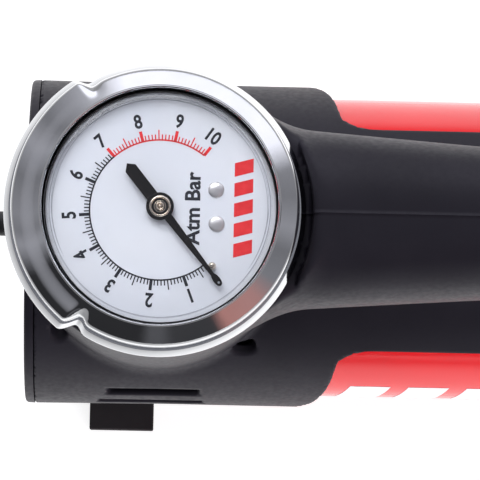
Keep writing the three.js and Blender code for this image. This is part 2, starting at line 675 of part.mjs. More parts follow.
// A quarter turn in a plane through `centre`, from the `from` direction to the `to` direction.
function quarterBend(centre, from, to, bend) {
  const points = [];
  for (let i = 0; i <= 6; i += 1) {
    const angle = (i / 6) * (Math.PI / 2);
    points.push(centre.clone()
      .addScaledVector(from, bend * Math.cos(angle))
      .addScaledVector(to, bend * Math.sin(angle)));
  }
  return new THREE.CatmullRomCurve3(points, false, 'centripetal');
}

function hoseTube(path, steps) {
  const section = new THREE.Shape();
  const sides = 8;
  for (let i = 0; i < sides; i += 1) {
    const angle = (2 * Math.PI * (i + 0.5)) / sides;
    const [u, v] = [HOSE.radius * Math.cos(angle), HOSE.radius * Math.sin(angle)];
    if (i === 0) section.moveTo(u, v);
    else section.lineTo(u, v);
  }
  section.closePath();
  return solid(new THREE.ExtrudeGeometry(section, { steps, extrudePath: path, curveSegments: 1 }));
}

// The hose leaves the pod, drops in an arc, and turns along the ground into the coil.
function addHose(root) {
  const { radius, bend, leave } = HOSE;
  const down = OUTLET.x - leave - bend;
  const drop = new THREE.CurvePath();
  drop.add(new THREE.LineCurve3(OUTLET, new THREE.Vector3(OUTLET.x - leave, 0, OUTLET.z)));
  drop.add(quarterBend(new THREE.Vector3(OUTLET.x - leave, 0, OUTLET.z - bend), Z, X.clone().negate(), bend));
  drop.add(new THREE.LineCurve3(
    new THREE.Vector3(down, 0, OUTLET.z - bend), new THREE.Vector3(down, 0, radius + bend)));
  drop.add(quarterBend(new THREE.Vector3(down - bend, 0, radius + bend), X, Z.clone().negate(), bend));
  add(root, 'hose', hoseTube(drop, 16), RUBBER);

  const top = 4 * radius - 0.2;
  const { inner, outer } = COIL;
  const coil = turned([
    [inner, 0.1], [outer, 0.1], [outer, 2 * radius], [outer - 2 * radius, top], [inner + 2 * radius, top],
    [inner, 2 * radius], [inner, 0.1],
  ], 28);
  const centre = coilCentre();
  add(root, 'hose_coil', coil.translate(centre.toArray()), RUBBER);

  const y = centre.y - HOSE.coilRadius;
  const tail = new THREE.CurvePath();
  tail.add(new THREE.LineCurve3(
    new THREE.Vector3(centre.x + 24, y, CHUCK.height), new THREE.Vector3(CHUCK.x - bend, y, CHUCK.height)));
  tail.add(quarterBend(new THREE.Vector3(CHUCK.x - bend, y + bend, CHUCK.height), NEG_Y, X, bend));
  add(root, 'hose_end', hoseTube(tail, 8), RUBBER);
}

// The push-on valve chuck: a round body with a thumb lever on top, lying in front of the coil.
function addChuck(root) {
  const tailEnd = coilCentre().y - HOSE.coilRadius + HOSE.bend;
  const holder = new THREE.Group();
  holder.position.set(CHUCK.x, tailEnd + GAP, CHUCK.height);
  holder.rotation.z = Math.PI / 2;
  root.add(holder);
  const { length, radius } = CHUCK;
  const body = cut(
    joined(
      turnedOnX([
        [0, 0], [2.4, 0], [2.4, 4], [4.6, 5.5], [radius - 1.4, 10], [radius, 14], [radius, length - 2],
        [radius - 1, length], [0, length],
      ], 20),
      box(20, 29, -2.6, 2.6, 4, 9.2),
    ),
    ringOnX(0, 4.4, length - 15, length + 2, 20),
    box(18, 31, -1.6, 1.6, 8, 12),
  );
  add(holder, 'chuck_body', body, BLACK);
  const lever = joined(
    box(-1.2, 1.2, -1.2, 1.2, 8.6, 11),
    box(-17, 0.9, -3.9, 3.9, 9.6, 11.4),
  );
  add(holder, 'chuck_lever', lever.translate([24.5, 0, 0]), RED);
}

// ---------------------------------------------------------------- assembly

const group = new THREE.Group();
const machine = new THREE.Group();
machine.position.set(GAUGE_X, 0, AXIS_HEIGHT);
group.add(machine);

addHousing(machine);
addRearCover(machine);
addFeet(machine);
add(machine, 'sleeve', ringOnX(SLEEVE.inner, SLEEVE.outer, SLEEVE.front, SLEEVE.rear, 36), RED);
addCrankcase(machine);
addCylinder(machine);
addPiston(machine);
addRod(machine);
addCrank(machine);
addMotor(machine);
addGaugeCase(machine);
addMovement(machine);
addDial(machine);
addBezel(machine);
addSwitch(machine);
addHose(group);
addChuck(group);

export default group;
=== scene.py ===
import json
import math

import bmesh
import bpy
import numpy as np
from mathutils import Matrix, Vector

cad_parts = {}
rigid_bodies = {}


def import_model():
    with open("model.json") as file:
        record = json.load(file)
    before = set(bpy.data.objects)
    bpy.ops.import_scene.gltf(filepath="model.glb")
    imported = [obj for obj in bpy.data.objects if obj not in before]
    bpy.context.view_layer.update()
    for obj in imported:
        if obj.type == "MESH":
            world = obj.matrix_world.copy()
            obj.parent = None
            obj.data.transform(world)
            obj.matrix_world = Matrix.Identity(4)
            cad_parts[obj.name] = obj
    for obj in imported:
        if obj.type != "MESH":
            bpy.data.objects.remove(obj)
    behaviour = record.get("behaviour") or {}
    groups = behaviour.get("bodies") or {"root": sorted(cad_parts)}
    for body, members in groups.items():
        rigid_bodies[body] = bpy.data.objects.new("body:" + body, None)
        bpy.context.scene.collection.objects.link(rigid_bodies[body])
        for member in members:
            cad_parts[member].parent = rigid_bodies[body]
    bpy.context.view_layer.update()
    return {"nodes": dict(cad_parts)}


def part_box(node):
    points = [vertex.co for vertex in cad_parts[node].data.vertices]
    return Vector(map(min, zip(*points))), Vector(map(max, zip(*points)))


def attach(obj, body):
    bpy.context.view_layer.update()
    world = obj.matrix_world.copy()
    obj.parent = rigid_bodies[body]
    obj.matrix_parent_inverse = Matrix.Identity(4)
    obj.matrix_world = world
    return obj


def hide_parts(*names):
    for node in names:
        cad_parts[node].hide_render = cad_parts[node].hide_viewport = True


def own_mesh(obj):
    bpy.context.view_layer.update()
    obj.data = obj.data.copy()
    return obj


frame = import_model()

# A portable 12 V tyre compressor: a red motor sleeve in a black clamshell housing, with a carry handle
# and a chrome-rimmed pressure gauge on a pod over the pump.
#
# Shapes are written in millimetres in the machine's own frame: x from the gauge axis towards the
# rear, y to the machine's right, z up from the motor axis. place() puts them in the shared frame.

MM = 0.001
TAU = 2 * math.pi


def middle(node, axis):
    low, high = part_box(node)
    return (low[axis] + high[axis]) / 2


GAUGE_X = middle("dial_plate", 0) / MM
MOTOR_Z = middle("sleeve", 2) / MM
DIAL_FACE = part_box("dial_plate")[1].z / MM - MOTOR_Z
GROUND = -MOTOR_Z


def place(points):
    """Machine millimetres to metres in the shared frame."""
    return (np.asarray(points, float) + (GAUGE_X, 0, MOTOR_Z)) * MM


# ---- driving dimensions (mm)

SHELL = dict(outer=36.0, inner=33.8, front=-26.6, rear=149.1)
COVER = dict(face=-28.7, back=-26.66, lip=-24.3)
REAR_COVER = dict(back=149.25, face=151.5, lip=146.0)
POD = dict(outer=29.0, inner=26.8, top=97.2, floor=20.0)
HANDLE = dict(wide_z=80.0, up=22.2, down=12.0, bend_x=106.0, bend=23.0, axis_z=85.1, low=20.0,
              wall=2.6, narrow_x=85.0, narrow_half=13.86, flare=0.077, power=2.5)
WINDOW = dict(bottom=-30.0, mirror=148.0)
BEZEL = dict(rim=29.3, wing=31.2, base=97.5, opening=23.3, notch=124.2, notch_width=2.6, wing_start=125.0,
             wing_rise=5.0)  # the last four in degrees from the rear
FLANK_BARS = dict(count=5, start=43.5, pitch=13.0, width=9.0, slant=-3.0, top=70, sweep=17)
FOOT = dict(front_x=-7.3, rear_x=128.0, length=15.0, inner=22.0, outer=41.3, height=7.0)
SCREWS = dict(pod=(19.3, 26.4, 20.5), nose=(-21, 29.2, 17), grip=(74, 85, 13.8), rear=(130, 54, 16.6))
SCREW_POST = dict(boss=2.9, hole=1.1, well=1.75)  # radii
FLANK_SLOTS = ((-10.6, 10.1, 70), (-12.5, 11, 82), (-12.5, 11, 94), (-12.5, 11, 106))
OUTLET_Z = 52.5
SWITCH_Z = 10.0
GLAND_Z = -19.0
SCALE_SHIFT = -0.62  # the printed scale sits this far off the gauge axis, in y
POINTER_REST = -51.2


# ---- camera

CAMERA = dict(tilt=4.002, lean=1.449, roll=1.169, target=(17.126, -2.906, 60.0), distance=0.8, lens=286.15)


def new_object(name, data):
    obj = bpy.data.objects.new(name, data)
    bpy.context.scene.collection.objects.link(obj)
    return obj


def make_camera():
    """A long lens almost straight above the gauge, tipped a little to the left side."""
    tilt, lean, roll = (math.radians(CAMERA[key]) for key in ("tilt", "lean", "roll"))
    back = Vector((-math.sin(lean), -math.sin(tilt) * math.cos(lean), math.cos(tilt) * math.cos(lean)))
    right = Vector((0, 1, 0)).cross(back).normalized()
    up = back.cross(right)
    across = right * math.cos(roll) + up * math.sin(roll)
    upward = up * math.cos(roll) - right * math.sin(roll)
    turn = Matrix((across, upward, back)).transposed().to_4x4()
    data = bpy.data.cameras.new("camera")
    data.lens = CAMERA["lens"]
    camera = new_object("camera", data)
    target = Vector(place(CAMERA["target"]))
    camera.matrix_world = Matrix.Translation(target + back * CAMERA["distance"]) @ turn
    bpy.context.scene.camera = camera


make_camera()

# ---- materials

GREY_STOPS = (0.3, 0.7)  # where a noise's low and high ends lie


class Tree:
    """The node tree of a material or world, with short calls for what they share."""

    def __init__(self, owner, space):
        owner.use_nodes = True
        self.tree = owner.node_tree
        self.space = self.add("ShaderNodeTexCoord").outputs[space]

    def add(self, kind, operation=None, **inputs):
        node = self.tree.nodes.new(kind)
        if operation:
            node.operation = operation
        self.fill(node, inputs)
        return node

    def fill(self, node, inputs):
        for key, value in inputs.items():
            node.inputs[key.replace("_", " ")].default_value = value

    def link(self, source, target):
        self.tree.links.new(source, target)

    def ramp(self, fac, stops):
        node = self.add("ShaderNodeValToRGB")
        elements = node.color_ramp.elements
        while len(elements) < len(stops):
            elements.new(0.5)
        for element, (where, value) in zip(elements, stops):
            element.position = where
            element.color = (*value, 1) if isinstance(value, tuple) else (value, value, value, 1)
        self.link(fac, node.inputs["Fac"])
        return node.outputs["Color"]


class Nodes(Tree):
    """A material built round the Principled shader."""

    def __init__(self, name, slot):
        self.material = bpy.data.materials.new(name)
        super().__init__(self.material, "Object")
        self.shader = self.tree.nodes["Principled BSDF"]

    def noise(self, scale, detail, stretch=None):
        node = self.add("ShaderNodeTexNoise", Scale=scale, Detail=detail)
        space = self.space
        if stretch:
            mapping = self.add("ShaderNodeMapping", Scale=stretch)
            self.link(space, mapping.inputs["Vector"])
            space = mapping.outputs["Vector"]
        self.link(space, node.inputs["Vector"])
        return node.outputs["Fac"]

    def vary(self, socket, noise, low, high):
        """Lets a noise, given as (scale, detail, stretch), drive a socket from low to high."""
        stops = zip(GREY_STOPS, (low, high))
        self.link(self.ramp(self.noise(*noise), list(stops)), self.shader.inputs[socket])

    def bump(self, *layers):
        """Layers of (height, distance in mm, strength), the first at the bottom."""
        below = None
        for height, distance, strength in layers:
            node = self.add("ShaderNodeBump", Distance=distance * MM, Strength=strength)
            self.link(height, node.inputs["Height"])
            if below:
                self.link(below, node.inputs["Normal"])
            below = node.outputs["Normal"]
        if below:
            self.link(below, self.shader.inputs["Normal"])


def surface(name, slot, colour, rough, bumps=(), **settings):
    """A plain material: colour and rough are (noise, low, high), a bump (noise, mm, strength)."""
    m = Nodes(name, slot)
    m.vary("Base Color", *colour)
    m.vary("Roughness", *rough)
    m.bump(*[(m.noise(*noise), distance, strength) for noise, distance, strength in bumps])
    m.fill(m.shader, settings)
    return m.material


def metal(name, slot, low, high, rough, scale, stretch=None, bump=0.12):
    """Turned, drawn or cast metal: colour, roughness and tool marks vary together."""
    marks = (scale, 4, stretch)
    return surface(name, slot, (marks, low, high), ((scale * 1.7, 3), *rough),
                   [(marks, 0.05, bump)], Metallic=1.0)


def dull(name, slot, low, high, rough, scale, depth=0.06, strength=0.25, specular=0.5):
    """Rubber, ferrite, resin and other plain surfaces with a fine grain."""
    return surface(name, slot, ((scale * 0.12, 3), low, high), ((scale * 0.5, 3), *rough),
                   [((scale, 4), depth, strength)], Specular_IOR_Level=specular)


def printed(name, slot, low, high):
    return surface(name, slot, ((700, 3), low, high), ((900, 2), 0.42, 0.55), Specular_IOR_Level=0.12)


def hose_rubber():
    """Braided rubber hose: a fine crossed weave pressed through the cover."""
    m = Nodes("braided_rubber", "hose_rubber")
    weave = m.add("ShaderNodeTexWave", Scale=520.0, Distortion=2.5, Detail=1.0)
    m.link(m.space, weave.inputs["Vector"])
    m.vary("Base Color", (300, 3), (0.010, 0.010, 0.011), (0.020, 0.020, 0.022))
    m.vary("Roughness", (500, 2), 0.42, 0.6)
    m.bump((weave.outputs["Fac"], 0.12, 0.25), (m.noise(1200, 2), 0.04, 0.2))
    return m.material


def clear_lens():
    """Clear acrylic. Rays from the lamps pass it unbent, so that the dial under it stays lit."""
    m = Nodes("clear_acrylic", "lens_clear")
    m.vary("Base Color", (50, 2), (0.97, 0.98, 1.0), (1.0, 1.0, 1.0))
    m.vary("Roughness", (90, 2), 0.0, 0.012)
    m.fill(m.shader, dict(IOR=1.45, Transmission_Weight=1.0))
    mix = m.add("ShaderNodeMixShader")
    m.link(m.add("ShaderNodeLightPath").outputs["Is Shadow Ray"], mix.inputs[0])
    m.link(m.shader.outputs["BSDF"], mix.inputs[1])
    m.link(m.add("ShaderNodeBsdfTransparent").outputs["BSDF"], mix.inputs[2])
    m.link(mix.outputs["Shader"], m.tree.nodes["Material Output"].inputs["Surface"])
    return m.material


# Fine-grained ABS, nearly black, and gloss enamel over the steel sleeve with a slight orange peel.
BLACK = surface("moulded_black", "black_plastic",
                ((60, 2), (0.0130, 0.0118, 0.0175), (0.0175, 0.0160, 0.0230)), ((900, 2), 0.42, 0.54),
                [((1500, 3), 0.05, 0.30), ((90, 2), 0.10, 0.05)], Specular_IOR_Level=0.25)
RED = surface("red_enamel", "red_paint", ((45, 2), (0.72, 0.0010, 0.0065), (0.80, 0.0016, 0.0085)),
              ((120, 2), 0.10, 0.16), [((420, 2), 0.05, 0.06)],
              Specular_IOR_Level=0.40, Coat_Weight=0.4, Coat_Roughness=0.06)
CHROME = surface("chrome_plate", "chrome", ((160, 3), (0.74, 0.755, 0.77), (0.80, 0.81, 0.82)),
                 ((260, 4), 0.05, 0.11), [((170, 3), 0.10, 0.14), ((1300, 2), 0.02, 0.12)], Metallic=1.0)
DIAL = surface("dial_enamel", "dial_white", ((30, 2), (0.620, 0.650, 0.715), (0.700, 0.725, 0.780)),
               ((700, 2), 0.30, 0.40), [((500, 2), 0.01, 0.1)], Specular_IOR_Level=0.2)
HOSE = hose_rubber()
LENS = clear_lens()

RUBBER = dull("foot_rubber", "rubber", (0.036, 0.033, 0.036), (0.047, 0.043, 0.046), (0.72, 0.86), 600,
              0.08, 0.3, 0.3)
GASKET = dull("gasket_rubber", "rubber", (0.0055, 0.0055, 0.0065), (0.009, 0.009, 0.010), (0.35, 0.5), 600,
              0.03, 0.2)
FERRITE = dull("ferrite", "ferrite", (0.026, 0.026, 0.028), (0.050, 0.050, 0.052), (0.6, 0.8), 800)
GRAPHITE = dull("graphite", "ferrite", (0.018, 0.018, 0.020), (0.045, 0.045, 0.048), (0.45, 0.65), 900)
NYLON = dull("red_nylon", "red_plastic", (0.50, 0.006, 0.010), (0.62, 0.010, 0.016), (0.34, 0.44), 900,
             0.04, 0.15)
POINTER = dull("pointer_black", "pointer_black", (0.0025, 0.0022, 0.0028), (0.0050, 0.0040, 0.0046),
               (0.40, 0.55), 900, 0.02, 0.15, 0.06)

STEEL = metal("bright_steel", "steel", (0.50, 0.50, 0.51), (0.62, 0.62, 0.63), (0.22, 0.34), 500)
ZINC = metal("zinc_plate", "steel", (0.36, 0.37, 0.38), (0.50, 0.50, 0.50), (0.30, 0.45), 350)
CAST = metal("cast_aluminium", "aluminium", (0.42, 0.42, 0.43), (0.56, 0.56, 0.56), (0.42, 0.60), 700,
             bump=0.5)
BRASS = metal("turned_brass", "brass", (0.60, 0.42, 0.20), (0.76, 0.58, 0.32), (0.16, 0.28), 600)
HUB_BRASS = metal("hub_cap_brass", "brass", (0.60, 0.52, 0.43), (0.78, 0.70, 0.60), (0.10, 0.18), 900)
PEARL = metal("satin_nickel", "steel", (0.80, 0.79, 0.79), (0.88, 0.87, 0.87), (0.30, 0.42), 500)
COPPER = metal("enamelled_copper", "copper", (0.42, 0.13, 0.06), (0.66, 0.26, 0.12), (0.25, 0.40), 900,
               (1, 6, 6), 0.4)

INK = printed("dial_ink", "pointer_black", (0.012, 0.014, 0.020), (0.020, 0.022, 0.030))
RED_INK = printed("dial_red_ink", "red_plastic", (0.66, 0.022, 0.026), (0.74, 0.034, 0.040))
GREY_INK = printed("dial_grey_ink", "steel", (0.33, 0.35, 0.40), (0.42, 0.44, 0.50))
WHITE_INK = printed("white_print", "dial_white", (0.80, 0.80, 0.82), (0.88, 0.88, 0.90))

# ---- mesh helpers


def finish_piece(obj, material, nodes=(), body="root"):
    """Gives a piece its material and its body, and hides the CAD nodes it stands for."""
    obj.data.materials.append(material)
    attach(obj, body)
    if nodes:
        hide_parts(*([nodes] if isinstance(nodes, str) else nodes))
    return obj


SHARP, CARRIED_SHARP = 32, 38  # degrees at which a smooth surface breaks into an edge


def mesh_object(name, points, faces, smooth=True):
    """An object from machine-frame points in mm; faces are turned to look outward."""
    mesh = bpy.data.meshes.new(name)
    mesh.from_pydata([tuple(p) for p in place(points)], [], [tuple(f) for f in faces])
    tidy = bmesh.new()
    tidy.from_mesh(mesh)
    bmesh.ops.remove_doubles(tidy, verts=tidy.verts, dist=1e-7)
    bmesh.ops.recalc_face_normals(tidy, faces=tidy.faces)
    tidy.to_mesh(mesh)
    tidy.free()
    if smooth:
        mesh.shade_smooth()
        mesh.set_sharp_from_angle(angle=math.radians(SHARP))
    return new_object(name, mesh)


def rounded(points, radius, steps=4):
    """A closed outline with each corner turned into a short arc. A point may carry its own radius."""
    flat = [(p[0], p[1]) for p in points]
    radii = [p[2] if len(p) > 2 else radius for p in points]
    out = []
    for i, corner in enumerate(flat):
        before, after = np.array(flat[i - 1]), np.array(flat[(i + 1) % len(flat)])
        here = np.array(corner)
        into, away = before - here, after - here
        r = min(radii[i], 0.45 * np.linalg.norm(into), 0.45 * np.linalg.norm(away))
        if r < 1e-4:
            out.append(tuple(here))
            continue
        start = here + into / np.linalg.norm(into) * r
        end = here + away / np.linalg.norm(away) * r
        for s in np.linspace(0, 1, steps + 1):
            out.append(tuple((1 - s) ** 2 * start + 2 * s * (1 - s) * here + s * s * end))
    return out


def spin(profile, segments, closed=True, shape=None):
    """Points and faces of a (radius, height) profile turned round the z axis.

    shape(radius, height, angle) may move each point in or out. An open profile starts and ends
    on the axis."""
    count = len(profile)
    points, faces = [], []
    for j in range(segments):
        angle = TAU * j / segments
        for r, h in profile:
            radius = shape(r, h, angle) if shape else r
            points.append((radius * math.cos(angle), radius * math.sin(angle), h))
    for j in range(segments):
        a, b = j * count, (j + 1) % segments * count
        for i in range(count if closed else count - 1):
            k = (i + 1) % count
            faces.append((a + i, b + i, b + k, a + k))
    return np.array(points), faces


def clean_quads(points, faces):
    """Drops the repeats in faces that meet the axis."""
    key = {}
    same = [key.setdefault(tuple(np.round(p, 5)), i) for i, p in enumerate(points)]
    out = []
    for face in faces:
        ring = []
        for v in (same[i] for i in face):
            if not ring or ring[-1] != v:
                ring.append(v)
        if ring[0] == ring[-1]:
            ring.pop()
        if len(ring) > 2:
            out.append(tuple(ring))
    return out


AXES = {"x": [2, 0, 1], "y": [0, 2, 1], "z": [0, 1, 2]}


def turned(name, profile, segments, axis="z", centre=(0, 0, 0), closed=True, shape=None):
    """A (radius, height) profile turned round an axis through centre."""
    points, faces = spin(profile, segments, closed, shape)
    return mesh_object(name, points[:, AXES[axis]] + np.array(centre), clean_quads(points, faces))


def lathe(name, material, nodes, profile, corner, steps, segments, body="root", **how):
    """A finished piece: a profile with rounded corners, turned round an axis."""
    obj = turned(name, rounded(profile, corner, steps), segments, **how)
    return finish_piece(obj, material, nodes, body)


def prism(outline, low, high):
    """Points and faces of an outline in (x, y), from low to high, with n-gon caps."""
    n = len(outline)
    points = [(x, y, low) for x, y in outline] + [(x, y, high) for x, y in outline]
    faces = [tuple(range(n))[::-1], tuple(range(n, 2 * n))]
    faces += [(i, (i + 1) % n, n + (i + 1) % n, n + i) for i in range(n)]
    return points, faces


def swung(x, y, turn, centre=(0, 0)):
    """x and y turned by an angle and moved to centre."""
    c, s = math.cos(turn), math.sin(turn)
    return x * c - y * s + centre[0], x * s + y * c + centre[1]


def gathered(shapes):
    """Several (points, faces) shapes as one."""
    points, faces = [], []
    for more_points, more_faces in shapes:
        base = len(points)
        points += [tuple(p) for p in more_points]
        faces += [tuple(base + i for i in f) for f in more_faces]
    return np.array(points), faces


def soften(obj, width, segments=3, angle=30):
    """A rounded edge all round, and normals that keep the flats flat."""
    bevel = obj.modifiers.new("edges", "BEVEL")
    bevel.width, bevel.segments = width * MM, segments
    bevel.limit_method, bevel.angle_limit = "ANGLE", math.radians(angle)
    obj.modifiers.new("flats", "WEIGHTED_NORMAL").keep_sharp = True
    return obj


def evaluated(obj):
    """The object's mesh with its modifiers applied."""
    return bpy.data.meshes.new_from_object(obj.evaluated_get(bpy.context.evaluated_depsgraph_get()))


def carried(node, material, width=0.12):
    """A copy of a CAD node's solid on its own body, with flats merged and every edge rounded."""
    mesh = frame["nodes"][node].data.copy()
    mesh.materials.clear()
    tidy = bmesh.new()
    tidy.from_mesh(mesh)
    bmesh.ops.remove_doubles(tidy, verts=tidy.verts, dist=2e-6)
    bmesh.ops.dissolve_limit(tidy, angle_limit=math.radians(1), verts=tidy.verts, edges=tidy.edges)
    tidy.to_mesh(mesh)
    tidy.free()
    mesh.shade_smooth()
    mesh.set_sharp_from_angle(angle=math.radians(CARRIED_SHARP))
    body = frame["nodes"][node].parent.name.partition(":")[2]
    obj = soften(new_object(node + "_fine", mesh), width, angle=CARRIED_SHARP)
    return finish_piece(obj, material, node, body)


# ---- hose (comes first: it sets the room)

HOSE_WIDTH = 5.2
BEND = 22.0
COIL_RADIUS = 28.0
CHUCK_Z = 7.8  # height of the hose's last run, where it enters the chuck


def quarter(centre, start, end, steps=8):
    """Points of a quarter turn about centre, from the start arm to the end arm, both left out."""
    c, a, b = (np.array(v, float) for v in (centre, start, end))
    return [tuple(c + a * math.cos(s) + b * math.sin(s)) for s in np.linspace(0, TAU / 4, steps + 1)[1:-1]]


def hose_route():
    """The centreline in mm in the shared frame: out of the pod, down to the ground, two turns on the
    ground and a half turn on top of them, then along the ground into the chuck."""
    exit_z = MOTOR_Z + OUTLET_Z
    floor = HOSE_WIDTH / 2
    points = [(x, 0, exit_z) for x in (-94.2, -97.2, -100.2)]
    points += quarter((-100.2, 0, exit_z - BEND), (0, 0, BEND), (-BEND, 0, 0))
    points += [(-122.2, 0, z) for z in (76.5, 59, 42, 24.6)]
    points += quarter((-144.2, 0, 24.6), (BEND, 0, 0), (0, 0, -BEND))
    steps, turns, widest = 80, 2.5, 30.6
    for i in range(steps + 1):
        share = i / steps * turns
        angle = math.radians(90) + share * TAU
        inward = smooth_step((share - 0.55) / 0.75)
        outward = smooth_step((share - 1.75) / 0.45)
        radius = widest - HOSE_WIDTH * inward + HOSE_WIDTH / 2 * outward
        points.append((-163.1 + radius * math.cos(angle), -widest + radius * math.sin(angle),
                       floor + 5.0 * outward))
    points += [(x, -58.6, CHUCK_Z) for x in (-155, -147, -139, -131.4)]
    points += quarter((-131.4, -36.6, CHUCK_Z), (0, -BEND, 0), (BEND, 0, 0))
    points += [(-109.4, -36.6, CHUCK_Z)]
    return np.array(points)


def smooth_step(s):
    """Eases from 0 to 1, and stays there outside."""
    s = min(max(s, 0), 1)
    return s * s * (3 - 2 * s)


def make_hose():
    points = hose_route()
    curve = bpy.data.curves.new("air_hose", "CURVE")
    curve.dimensions = "3D"
    curve.bevel_depth = HOSE_WIDTH / 2 * MM
    curve.bevel_resolution = 5
    curve.resolution_u = 3
    curve.use_fill_caps = True
    spline = curve.splines.new("BEZIER")
    spline.bezier_points.add(len(points) - 1)
    tangents = np.gradient(points, axis=0)
    for i, (point, knot) in enumerate(zip(points, spline.bezier_points)):
        ahead = points[min(i + 1, len(points) - 1)] - point
        behind = point - points[max(i - 1, 0)]
        along = tangents[i] / np.linalg.norm(tangents[i])
        knot.co = point * MM
        knot.handle_left_type = knot.handle_right_type = "FREE"
        knot.handle_left = (point - along * np.linalg.norm(behind) / 3) * MM
        knot.handle_right = (point + along * np.linalg.norm(ahead) / 3) * MM
    hose = finish_piece(new_object("air_hose", curve), HOSE, ("hose", "hose_coil", "hose_end"))
    length = float(np.linalg.norm(np.diff(points, axis=0), axis=1).sum())
    return hose, points, length


hose, hose_points, hose_length = make_hose()

# ---- housing, as a distance field


def smooth_min(a, b, k):
    h = np.clip(0.5 + 0.5 * (b - a) / k, 0, 1)
    return b + (a - b) * h - k * h * (1 - h)


def smooth_max(a, b, k):
    return -smooth_min(-a, -b, k)


def window_outline():
    """The side window's edge: an S-curve from the spine down to the bottom rail, mirrored at the rear."""
    def bend(start, control, end, steps):
        s = np.linspace(0, 1, steps + 1)[:-1, None]
        a, c, b = (np.array(v, float) for v in (start, control, end))
        return (1 - s) ** 2 * a + 2 * s * (1 - s) * c + s * s * b

    low = WINDOW["bottom"]
    front = np.vstack([
        bend((48.5, 26), (41.2, 26), (39.8, 22.7), 8),
        bend((39.8, 22.7), (38, 12), (34.1, 3.2), 8),
        bend((34.1, 3.2), (31.5, -4), (31.5, -14), 6),
        bend((31.5, -14), (31.5, -18), (31.5, low + 5), 2),
        bend((31.5, low + 5), (31.5, low), (36.5, low), 6),
        [(36.5, low)],
    ])
    rear = front[::-1] * (-1, 1) + (WINDOW["mirror"], 0)
    return np.vstack([front, rear])


OUTLINE = window_outline()


def window_distance(x, z):
    """Signed distance to the window outline in the side view, negative inside."""
    nearest = np.full(x.shape, 1e9, np.float32)
    inside = np.zeros(x.shape, bool)
    for (x0, z0), (x1, z1) in zip(OUTLINE, np.roll(OUTLINE, -1, axis=0)):
        ex, ez = x1 - x0, z1 - z0
        if ex * ex + ez * ez < 1e-9:
            continue
        s = np.clip(((x - x0) * ex + (z - z0) * ez) / (ex * ex + ez * ez), 0, 1)
        nearest = np.minimum(nearest, (x - x0 - s * ex) ** 2 + (z - z0 - s * ez) ** 2)
        if ez:
            inside ^= ((z0 > z) != (z1 > z)) & (x < x0 + (z - z0) / ez * ex)
    return np.where(inside, -1, 1) * np.sqrt(nearest)


def handle_distance(x, y, z):
    """The grip and its rear bend: an egg section, wide low down and drawn up to a rounded top."""
    h = HANDLE
    centre_z = h["axis_z"] - h["bend"]
    past, over = x - h["bend_x"], z - centre_z
    out = np.where(past <= 0, over - h["bend"],
                   np.where(over > 0, np.hypot(np.maximum(past, 0), np.maximum(over, 0)), past) - h["bend"])
    out = out + (h["axis_z"] - h["wide_z"])
    half = h["narrow_half"] + h["flare"] * np.hypot(x - h["narrow_x"], 12)
    reach = np.where(out > 0, h["up"], h["down"])
    p = h["power"]
    u, v = np.abs(y) / half + 1e-4, np.abs(out) / reach + 1e-4
    g = (u ** p + v ** p) ** (1 / p)
    slope = np.hypot((u / g) ** (p - 1) / half, (v / g) ** (p - 1) / reach)
    return (g - 1) / np.maximum(slope, 1e-3)


def slot_distance(x, y, z, radius):
    """Vent slots on the flank: sunk channels that follow the round of the shell."""
    turn = np.arctan2(np.abs(y), z)
    nearest = np.full(x.shape, 50.0, np.float32)
    for x0, x1, angle in FLANK_SLOTS:
        across = np.abs(turn - math.radians(angle)) * SHELL["outer"] - 1.55
        along = np.abs(x - (x0 + x1) / 2) - (x1 - x0) / 2 + (SHELL["outer"] - radius) * 0.45
        nearest = np.minimum(nearest, smooth_max(across, along, 0.6))
    return nearest


def housing_distance(x, y, z):
    """Both halves at once, mirrored about y = 0, before the parting cut and the screw wells."""
    radius = np.hypot(y, z)
    column = np.hypot(x, y)
    s = SHELL
    drum = radius - (s["outer"] + 0.3 * np.clip(-x / 30, 0, 1))
    drum = smooth_max(drum, np.maximum(s["front"] - x, x - s["rear"]), 0.4)
    pod = np.maximum(smooth_max(column - POD["outer"], z - POD["top"], 1.2), POD["floor"] - z)
    grip = handle_distance(x, y, z)
    grip = np.maximum(grip, np.maximum(4 - x, HANDLE["low"] - z))
    solid = smooth_min(smooth_min(drum, pod, 1.6), grip, 7)
    for foot_x in (FOOT["front_x"], FOOT["rear_x"]):
        leg = smooth_max(np.abs(x - foot_x) - 6, np.maximum(np.abs(y) - 35, 24 - np.abs(y)), 1.5)
        leg = np.maximum(leg, np.maximum(z + 12, GROUND + FOOT["height"] - 0.2 - z))
        solid = smooth_min(solid, leg, 1.2)
    seat = np.maximum(column - (BEZEL["rim"] + 1.3), POD["top"] - z)
    solid = smooth_max(solid, -seat, 2.0)
    hollow = np.maximum(radius - s["inner"], np.maximum(-60 - x, x - 160))
    hollow = np.minimum(hollow, np.maximum(column - POD["inner"], POD["floor"] - z))
    grip_hollow = np.maximum(np.maximum(grip + HANDLE["wall"], 31 - x), 30 - z)
    solid = np.maximum(solid, -np.minimum(hollow, grip_hollow))
    opening = np.maximum(window_distance(x, z), 19 - np.abs(y))
    solid = smooth_max(solid, -opening, 0.9)
    solid = smooth_max(solid, -slot_distance(x, y, z, radius), 0.8)
    outlet = np.maximum(np.hypot(y, z - OUTLET_Z) - 4.9, x)
    solid = smooth_max(solid, -outlet, 0.5)
    for screw_x, screw_z, reach in SCREWS.values():
        post = np.hypot(x - screw_x, z - screw_z)
        boss = np.maximum(post - SCREW_POST["boss"], np.abs(y) - (reach - 1))
        solid = np.maximum(np.minimum(solid, boss), -np.maximum(post - SCREW_POST["hole"], np.abs(y) - 10))
    return smooth_max(solid, 0.06 - np.abs(y), 0.35)


